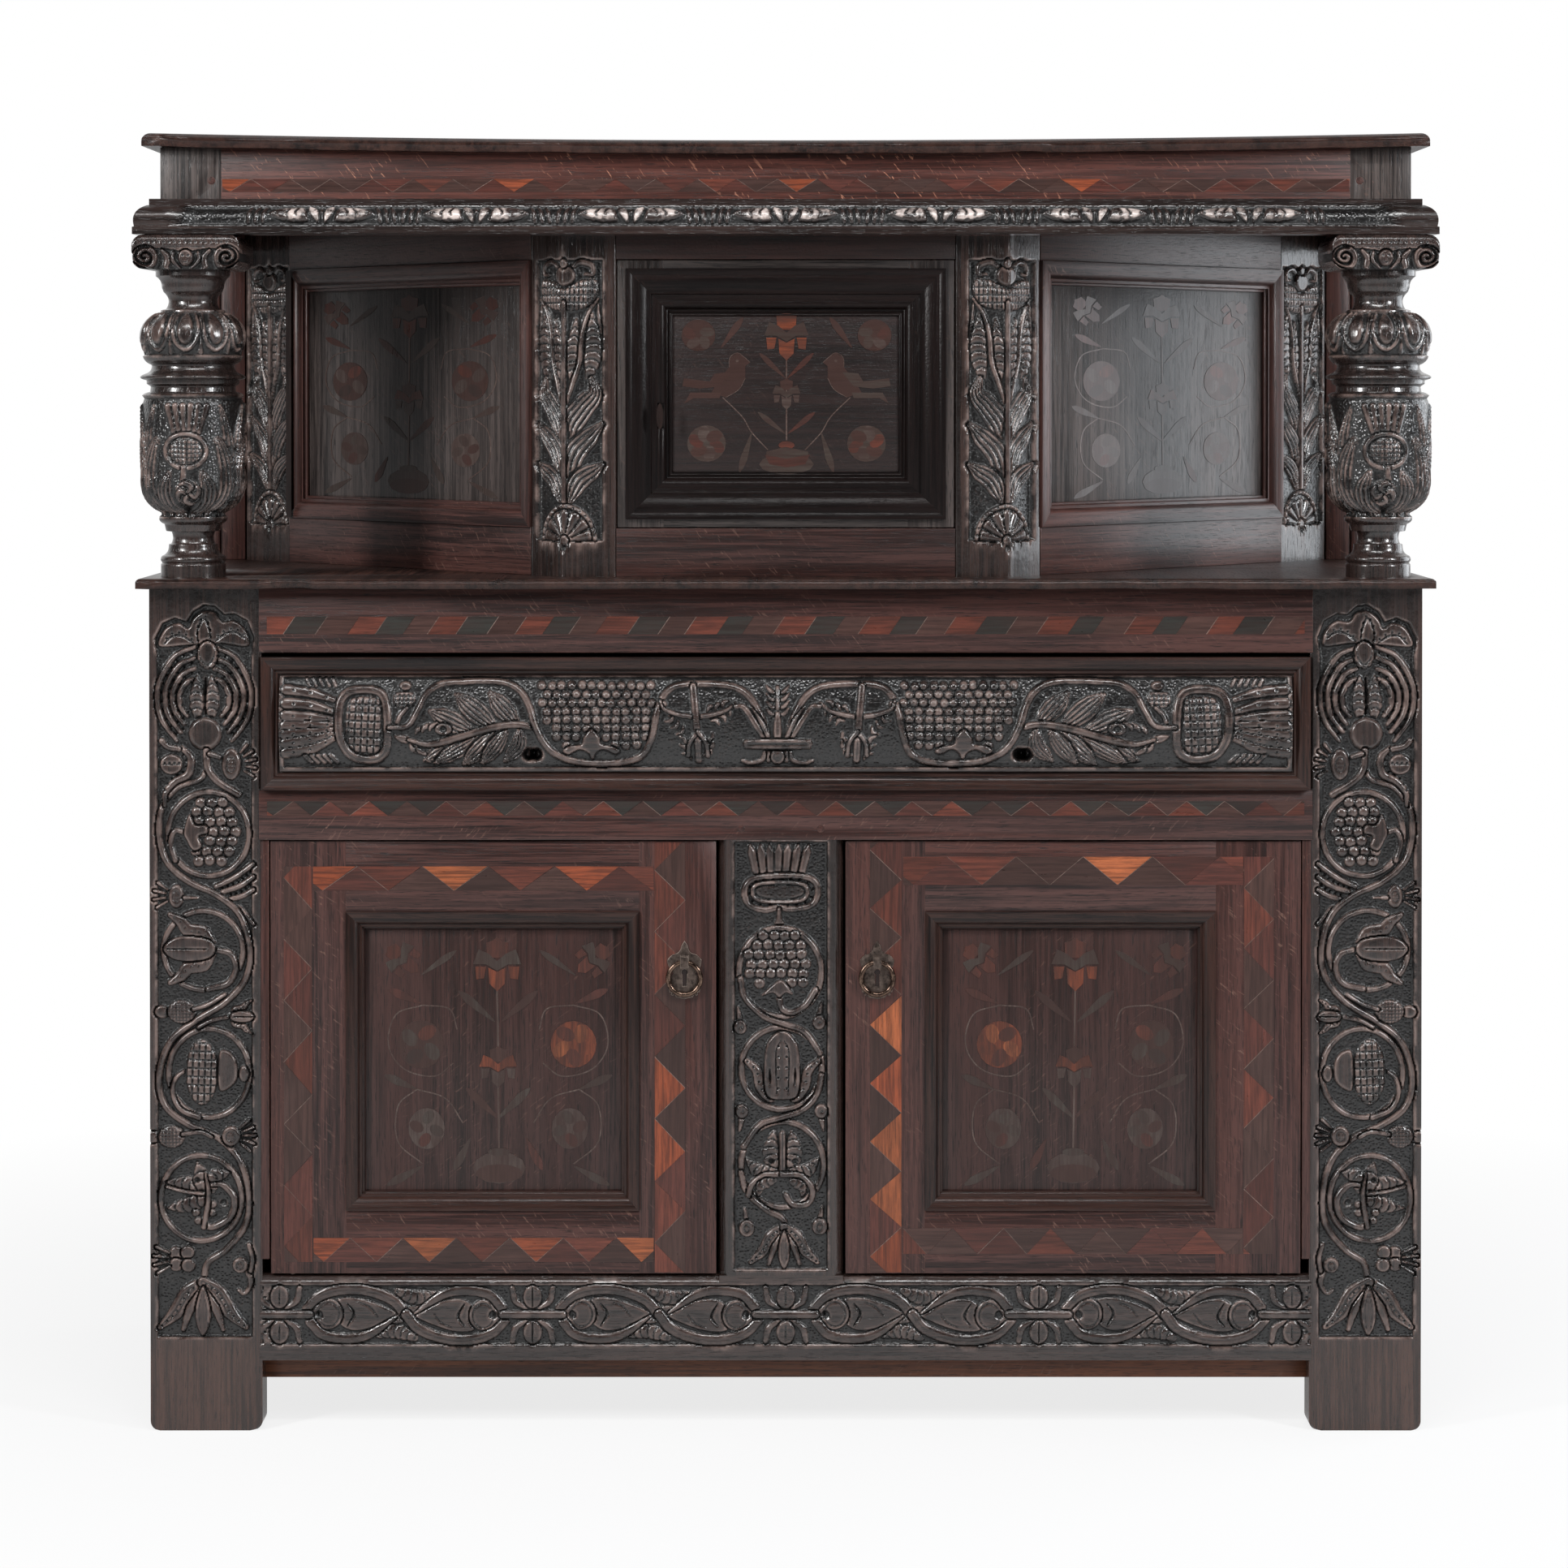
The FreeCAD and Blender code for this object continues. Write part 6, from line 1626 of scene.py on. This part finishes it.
def tulipSlip(a, b, size, colours, angle=0):
    shapes = (((-0.5, -0.9), (-0.2, -1.0), (0, -1.15), (0.2, -1.0), (0.5, -0.9), (0.45, -0.2), (-0.45, -0.2)),
        ((-1.1, 0.1), (-0.85, -0.6), (-0.4, -0.4), (0, -0.05), (0.4, -0.4), (0.85, -0.6), (1.1, 0.1), (0.5, 0.1),
        (0, 0.4), (-0.5, 0.1)), ((-0.4, 0.25), (0, 0.45), (0.4, 0.25), (0.35, 1.0), (0, 1.35), (-0.35, 1.0)),
        ((-1.0, 0.2), (-0.5, 0.2), (-0.6, 0.75), (-0.95, 0.8)), ((1.0, 0.2), (0.5, 0.2), (0.6, 0.75), (0.95, 0.8)))
    return [(turned(shape, a, b, angle, size), colours[k]) for shape, k in zip(shapes, (0, 1, 2, 2, 2))]


def flipped(slips, middle):
    return [([(2 * middle - a, b) for a, b in pairs(outline)], colour) for outline, colour in slips]


def poster(bright):
    # A vase with a stem of tulips between scrolling stems, roundels and leaves
    orange, red, smoke = ("orange", "rust", "smoke") if bright else ("rust", "red", "grey")
    slips = []
    for flip in (False, True):
        half = []
        half += stemSlip([3.8, 4.9, 2.4, 5.4, 2.0, 7.0, 2.8, 8.3, 4.4, 8.7, 5.4, 8.0])
        half += stemSlip([3.8, 4.9, 5.2, 5.1, 5.6, 6.2]) + stemSlip([3.5, 9.4, 5.0, 9.9, 5.9, 11.2])
        half += stemSlip([3.5, 9.4, 2.5, 10.3, 2.5, 12.2, 3.8, 13.4])
        half += leafSlip((7.6, 5.8), (5.7, 4.1), 0.5, "plain" if flip else "smoke")
        half += leafSlip((7.8, 11.0), (6.1, 9.3), 0.5, "smoke" if flip else "brown")
        half += leafSlip((3.7, 3.3), (5.6, 2.0), 0.4, "smoke") + leafSlip((3.7, 4.8), (2.0, 4.0), 0.5, "red")
        half += leafSlip((3.5, 9.4), (1.8, 8.6), 0.5, "smoke") + leafSlip((3.8, 13.5), (1.9, 14.5), 0.5, "smoke")
        half += leafSlip((6.3, 12.0), (5.4, 13.7), 0.5, "red" if flip else "smoke")
        half += tulipSlip(2.7, 2.4, 0.85, (red, smoke, "rust" if flip else "red"), -50)
        if bright and flip:
            half += wheelSlip(3.8, 7.0, 1.2, 1.25, (orange, "amber", "rust", "orange"), 5, 20)
        else:
            half += wheelSlip(3.7, 7.0, 1.2, 1.3, ("brown", smoke, "black", smoke, "rust"), 4, 30)
        half += wheelSlip(4.0, 11.5, 0.95, 1.1, ("grey", "smoke", "red", "brown"), 4, 10)
        slips += flipped(half, 7.75) if flip else half
    slips += stemSlip([7.7, 3.9, 7.75, 7.2], 0.05) + stemSlip([7.75, 9.0, 7.8, 12.6], 0.05)
    slips += tulipSlip(7.7, 2.6, 1.15, (red, "smoke", orange)) + tulipSlip(7.75, 8.1, 0.9, ("brown", orange, "grey"))
    slips += [(oval(7.8, 13.6, 1.4, 0.85), "grey"), (oval(7.8, 13.9, 1.25, 0.5), "brown"),
        (oval(7.8, 12.75, 0.6, 0.22), "smoke")]
    return slips


def birds():
    slips = []
    for flip in (False, True):
        half = stemSlip([4.0, 5.9, 5.2, 7.1, 5.8, 8.1, 6.8, 9.2])
        half += [([4.4, 4.0, 4.45, 3.4, 4.9, 3.1, 5.3, 3.35, 5.7, 3.7, 5.4, 3.95, 5.4, 4.7, 5.0, 5.4, 4.2, 5.9, 3.3,
            5.6, 3.7, 4.9], "plain"), ([4.5, 4.3, 3.5, 4.4, 3.2, 4.9, 1.6, 4.7, 1.5, 5.2, 2.6, 5.35, 3.8, 5.2],
            "smoke" if flip else "brown"), ([3.9, 5.6, 2.0, 5.6, 1.6, 6.3, 2.2, 5.95, 3.8, 5.95],
            "smoke" if flip else "plain"), (oval(4.9, 3.6, 0.1, 0.1, count=8), "pale")]
        half += stemSlip([4.4, 4.0, 4.45, 3.4, 4.9, 3.1, 5.3, 3.35, 5.7, 3.7], 0.02)
        half += stemSlip([5.4, 4.7, 5.0, 5.4, 4.2, 5.9], 0.02)
        half += leafSlip((7.9, 4.7), (6.3, 3.1), 0.4, "red" if flip else "brown")
        half += leafSlip((7.9, 8.2), (6.2, 6.8), 0.4, "red" if flip else "smoke")
        half += leafSlip((3.9, 2.8), (5.3, 0.9), 0.5, "brown") + leafSlip((5.8, 8.1), (5.0, 10.6), 0.5, "smoke")
        half += wheelSlip(2.5, 2.0, 1.05, 1.0, ("plain", "smoke", "grey", "red", "brown"), 5, 50)
        half += wheelSlip(3.0, 8.8, 1.2, 1.15, ("smoke", "rust" if flip else "red", "grey", "brown"), 6, 15)
        slips += flipped(half, 7.95) if flip else half
    slips += stemSlip([7.95, 3.2, 7.95, 8.6], 0.05)
    slips += tulipSlip(7.95, 1.9, 1.25, ("orange", "smoke", "orange")) + tulipSlip(7.95, 5.6, 0.8,
        ("brown", "smoke", "grey"))
    slips += [(oval(7.95, 10.1, 1.7, 0.65), "smoke"), (oval(7.95, 8.9, 0.5, 0.25), "rust"),
        ([6.7, 9.3, 7.9, 9.0, 9.3, 9.3, 9.3, 9.6, 7.9, 9.8, 6.7, 9.6], "smoke"),
        ([6.6, 9.5, 7.95, 9.75, 9.4, 9.5, 9.1, 10.1, 7.95, 10.3, 6.9, 10.1], "red")]
    return slips


def drawnIn(box, page, wall):
    # Turns a drawing's page into a panel: box is (left, right, low, high) and page the drawing's own
    left, right, low, high = box
    a, c, b, d = page

    def place(points):
        across = left + (np.asarray(points)[:, 0] - a) / (c - a) * (right - left)
        up = high - (np.asarray(points)[:, 1] - b) / (d - b) * (high - low)
        return wall(across, up)
    return place


def panelPicture(door, slips, page, box, y, grain, seed):
    left, right, low, high, margin = box
    letIn(door + "_marquetry", slips, drawnIn((left + margin, right - margin, low + margin, high - margin), page,
        lambda x, z: np.stack([x, np.full_like(x, y), z], 1)), door, 0.5, grain, seed, fadedWoods, 0, 0.002)


posyPage, birdPage = (0.6, 14.4, 0.6, 15.0), (0.6, 15.2, 0.45, 10.9)
panelPicture("left_door", poster(True), posyPage, (-543.3, -181, 272, 642, 18), 15.4, "upright", 21)
panelPicture("right_door", flipped(poster(True), 7.75), posyPage, (172, 531.3, 272, 642, 18), 15.4, "upright", 22)
panelPicture("upper_door", birds(), birdPage, (-158, 158, 1166.5, 1396.5, 12), 21.9, "across", 23)
for side in (-1, 1):
    letIn(("left" if side < 0 else "right") + "_wall_marquetry", poster(False),
        drawnIn((100, 530, 1140, 1424), posyPage, lambda u, z: np.stack([side * cantedPlace(u, 11.9)[0],
        cantedPlace(u, 11.9)[1], z], 1)), "carcase", 0.5, "upright", 24 + side, fadedWoods, 0, 0.002)
# Painted shadow: a black slip for the dark slot between the left wall's rear stile and its moulding
letIn("left_wall_painted_shadow", [([555, 1116, 567, 1116, 567, 1447, 555, 1447], (0.0005, 0.0005, 0.0005))],
    lambda points: [(-cantedPlace(u, -6.4)[0], cantedPlace(u, -6.4)[1], z) for u, z in points], "carcase", 0.5, gap=0)
# Painted shade: a black slip for the dark of the upper door's keyhole
slot = [(-155 + 4.2 * math.cos(a), 1254 + 16 * math.sin(a)) for a in np.linspace(0, math.tau, 13)[:-1]]
letIn("upper_key_slot", [(slot, (0.0005, 0.0005, 0.0005))], onFace(min(faceAt("upper_door_moulding", x,
    1254) for x in (-159, -155, -151)) - 0.2), "upper_door", 0.4, gap=0)
# Painted shade: black slips for the dark inside the keyholes behind the plates
for side in (-1, 1):  # the dark of the keyholes behind the plates
    middle = -125 if side < 0 else 113
    hole = [(3.6 * math.cos(a), 4 + 3.6 * math.sin(a)) for a in np.linspace(-0.9, math.pi + 0.9, 12)]
    hole = [(middle + a, 563 + b) for a, b in [(1.6, 1), *hole, (-1.6, 1), (-2.5, -13), (2.5, -13)][1:]]
    letIn(("left" if side < 0 else "right") + "_keyhole", [(hole, (0.001, 0.001, 0.001))], onFace(2.9),
        "left_door" if side < 0 else "right_door", 0.4)
print("marquetry let in")


# Plain boards, eased and told apart

plainBoards = ((frameOak, 1.0, "across", "top_rail drawer_rail upper_front_rails canted_rails"),
    (frameOak, 1.2, "long", "side_rails"), (frameOak, 1.2, "upright", "upper_rear_posts"),
    (frameOak, 0.8, "upright", "door_strips"), (frameOak, 1.0, "long", "left_door_frame right_door_frame"),
    (frameOak, 0.6, "long", "canted_mouldings"), (frameOak, 0.4, "long", "joint_pegs"),
    (friezeOak, 0.8, "long", "frieze_boards"), (sheenGreyOak, 1.0, "upright", "frieze_corner_blocks"),
    (sheenGreyOak, 1.0, "long", "upper_door_frame"), (sheenGreyOak, 0.4, "upright", "canted_panels"),
    (paintedShadeOak, 0.6, "long", "upper_door_moulding"),
    (mouldingOak, 0.6, "long", "drawer_mouldings left_door_moulding right_door_moulding"),
    (panelOak, 0.6, "upright", "side_panels"), (panelOak, 0.4, "upright", "left_door_panel right_door_panel"),
    (panelOak, 0.4, "across", "upper_door_panel"), (bearerOak, 1.5, "across", "bottom_bearers"),
    (innerOak, 1.5, "upright", "rear_stiles"), (innerOak, 1.0, "across", "back_rails drawer_back"),
    (innerOak, 0.6, "long", "back_boards bottom_boards drawer_bottom"),
    (innerOak, 1.0, "long", "drawer_sides drawer_runners"), (innerOak, 0.8, "long", "upper_back_boards"))
# Painted shade: how much darker each board under the frieze is painted, most of all the upper door's parts in the
# recess
paintedShadeDims = {"upper_door_frame": 0.8, "upper_door_moulding": 0.4, "upper_door_panel": 0.28, "upper_front_rails": 0.6}
for material, edge, grain, nodes in plainBoards:
    for node in nodes.split():
        # The frieze keeps the light from the boards under it
        under = node.startswith(("canted", "upper_front_rails", "upper_door"))
        dressNode(node, material, edge, grain, 0.05 * under, paintedShadeDims.get(node, 0.95))
mouldedBoards("lower_top_boards", mouldingOak, 0.0085, 81)
mouldedBoards("top_boards", mouldingOak, 0.0085, 84, 0.009)
for node, slot in slotOf.items():
    if node.endswith("pull_plate"):
        dressNode(node, ironFinish, 0.35)
    elif slot == "iron":
        cadNodes[node].data.materials.clear()
        cadNodes[node].data.materials.append(bronzeFinish if "ring" in node else ironFinish)
print("plain boards done")

# Camera, floor and lamps

photoWidth = 1932
camera = {"x": -2.1, "height": 1282.0, "distance": 4600.0, "tilt": 0.7, "focal": 4600.0, "shift": -0.22}
bpy.ops.object.camera_add(location=toRow([(camera["x"], -camera["distance"], camera["height"])])[0],
    rotation=(math.radians(90 - camera["tilt"]), 0, 0))
eye = bpy.context.active_object
eye.data.lens = camera["focal"] / photoWidth * eye.data.sensor_width
eye.data.shift_y = camera["shift"]
eye.data.clip_end = 60
bpy.context.scene.camera = eye


def makeFloor():
    # Pale near the cupboard, so its shadow shows, and lost in the white further out
    pale = Finish("paleFloor")
    pale.set("Base Color", (0.72, 0.72, 0.72))
    pale.set("Roughness", 0.9)
    pale.set("Specular IOR Level", 0.0)
    reach = pale.nodes.new("ShaderNodeVectorMath")
    reach.operation = "LENGTH"
    pale.links.new(pale.stretch(pale.where(), (0.8, 1.0, 1.0)), reach.inputs[0])
    path = pale.nodes.new("ShaderNodeLightPath")
    mirrored = pale.combine("MAXIMUM", path.outputs["Is Glossy Ray"], path.outputs["Is Transmission Ray"])
    seen = pale.combine("MAXIMUM", path.outputs["Is Camera Ray"], pale.times(mirrored, 0.35))
    glow = pale.nodes.new("ShaderNodeEmission")
    glow.inputs["Color"].default_value = (1, 1, 1, 1)

    def mixed(share, first, second):
        node = pale.nodes.new("ShaderNodeMixShader")
        pale.give(node.inputs[0], share)
        pale.links.new(first, node.inputs[1])
        pale.links.new(second, node.inputs[2])
        return node.outputs["Shader"]

    lit = mixed(0.8, pale.shader.outputs["BSDF"], glow.outputs["Emission"])
    faded = mixed(pale.steps(reach.outputs["Value"], 0.6, 1.9), lit, glow.outputs["Emission"])
    pale.surface(mixed(seen, pale.shader.outputs["BSDF"], faded))
    return pale.material


clearSelection()
bpy.ops.mesh.primitive_plane_add(size=40, location=(0, 0, 0))
floor = bpy.context.active_object
floor.name = "floor"
floor.data.materials.append(makeFloor())


def softLamp(name, place, aim, size, power, colour=(1, 1, 1)):
    clearSelection()
    bpy.ops.object.light_add(type="AREA", location=place)
    lamp = bpy.context.active_object
    lamp.name = name
    lamp.data.shape = "RECTANGLE"
    lamp.data.size, lamp.data.size_y = size
    lamp.data.energy = power
    lamp.data.color = colour
    away = np.array(place, float) - np.array(aim, float)
    lamp.rotation_euler = (math.acos(away[2] / np.linalg.norm(away)), 0, math.atan2(away[0], -away[1]))
    return lamp


softLamp("left_lamp", (-2.9, -2.4, 2.5), (0, 0, 0.8), (0.45, 1.2), 104)
softLamp("right_lamp", (2.9, -2.3, 2.3), (0, 0, 0.8), (0.45, 1.2), 90, (0.96, 0.98, 1.0))
softLamp("side_lamp", (2.5, 0.55, 1.35), (0.4, 0.2, 1.25), (1.4, 2.0), 30, (0.9, 0.95, 1.0))
softLamp("top_lamp", (0, -2.3, 3.6), (0, -0.1, 0.9), (2.4, 0.4), 70)


def makeWorld():
    # White where the camera looks, and where gloss turns towards the backdrop behind the cupboard; gloss that
    # turns to the front finds a dim studio
    world = bpy.data.worlds.new("studio")
    bpy.context.scene.world = world
    world.use_nodes = True
    nodes, links = world.node_tree.nodes, world.node_tree.links
    nodes.clear()
    sky = Finish.__new__(Finish)
    sky.nodes, sky.links = nodes, links
    path = nodes.new("ShaderNodeLightPath")
    facing = nodes.new("ShaderNodeSeparateXYZ")
    links.new(nodes.new("ShaderNodeTexCoord").outputs["Generated"], facing.inputs["Vector"])
    mirrored = sky.combine("MAXIMUM", path.outputs["Is Glossy Ray"], path.outputs["Is Transmission Ray"])
    seen = sky.combine("MAXIMUM", path.outputs["Is Camera Ray"],
        sky.times(mirrored, sky.steps(facing.outputs["Y"], 0.25, 0.6)))
    output = nodes.new("ShaderNodeOutputWorld")
    mixed = nodes.new("ShaderNodeMixShader")
    links.new(seen, mixed.inputs["Fac"])
    for place, colour, strength in ((1, (0.92, 0.95, 1.0, 1), sky.steps(mirrored, 0, 1, 0.15, 0.05)),
            (2, (1, 1, 1, 1), 1.0)):
        light = nodes.new("ShaderNodeBackground")
        light.inputs["Color"].default_value = colour
        sky.give(light.inputs["Strength"], strength)
        links.new(light.outputs["Background"], mixed.inputs[place])
    links.new(mixed.outputs["Shader"], output.inputs["Surface"])


makeWorld()
bpy.context.scene.view_settings.view_transform = "Standard"
print("stage set")
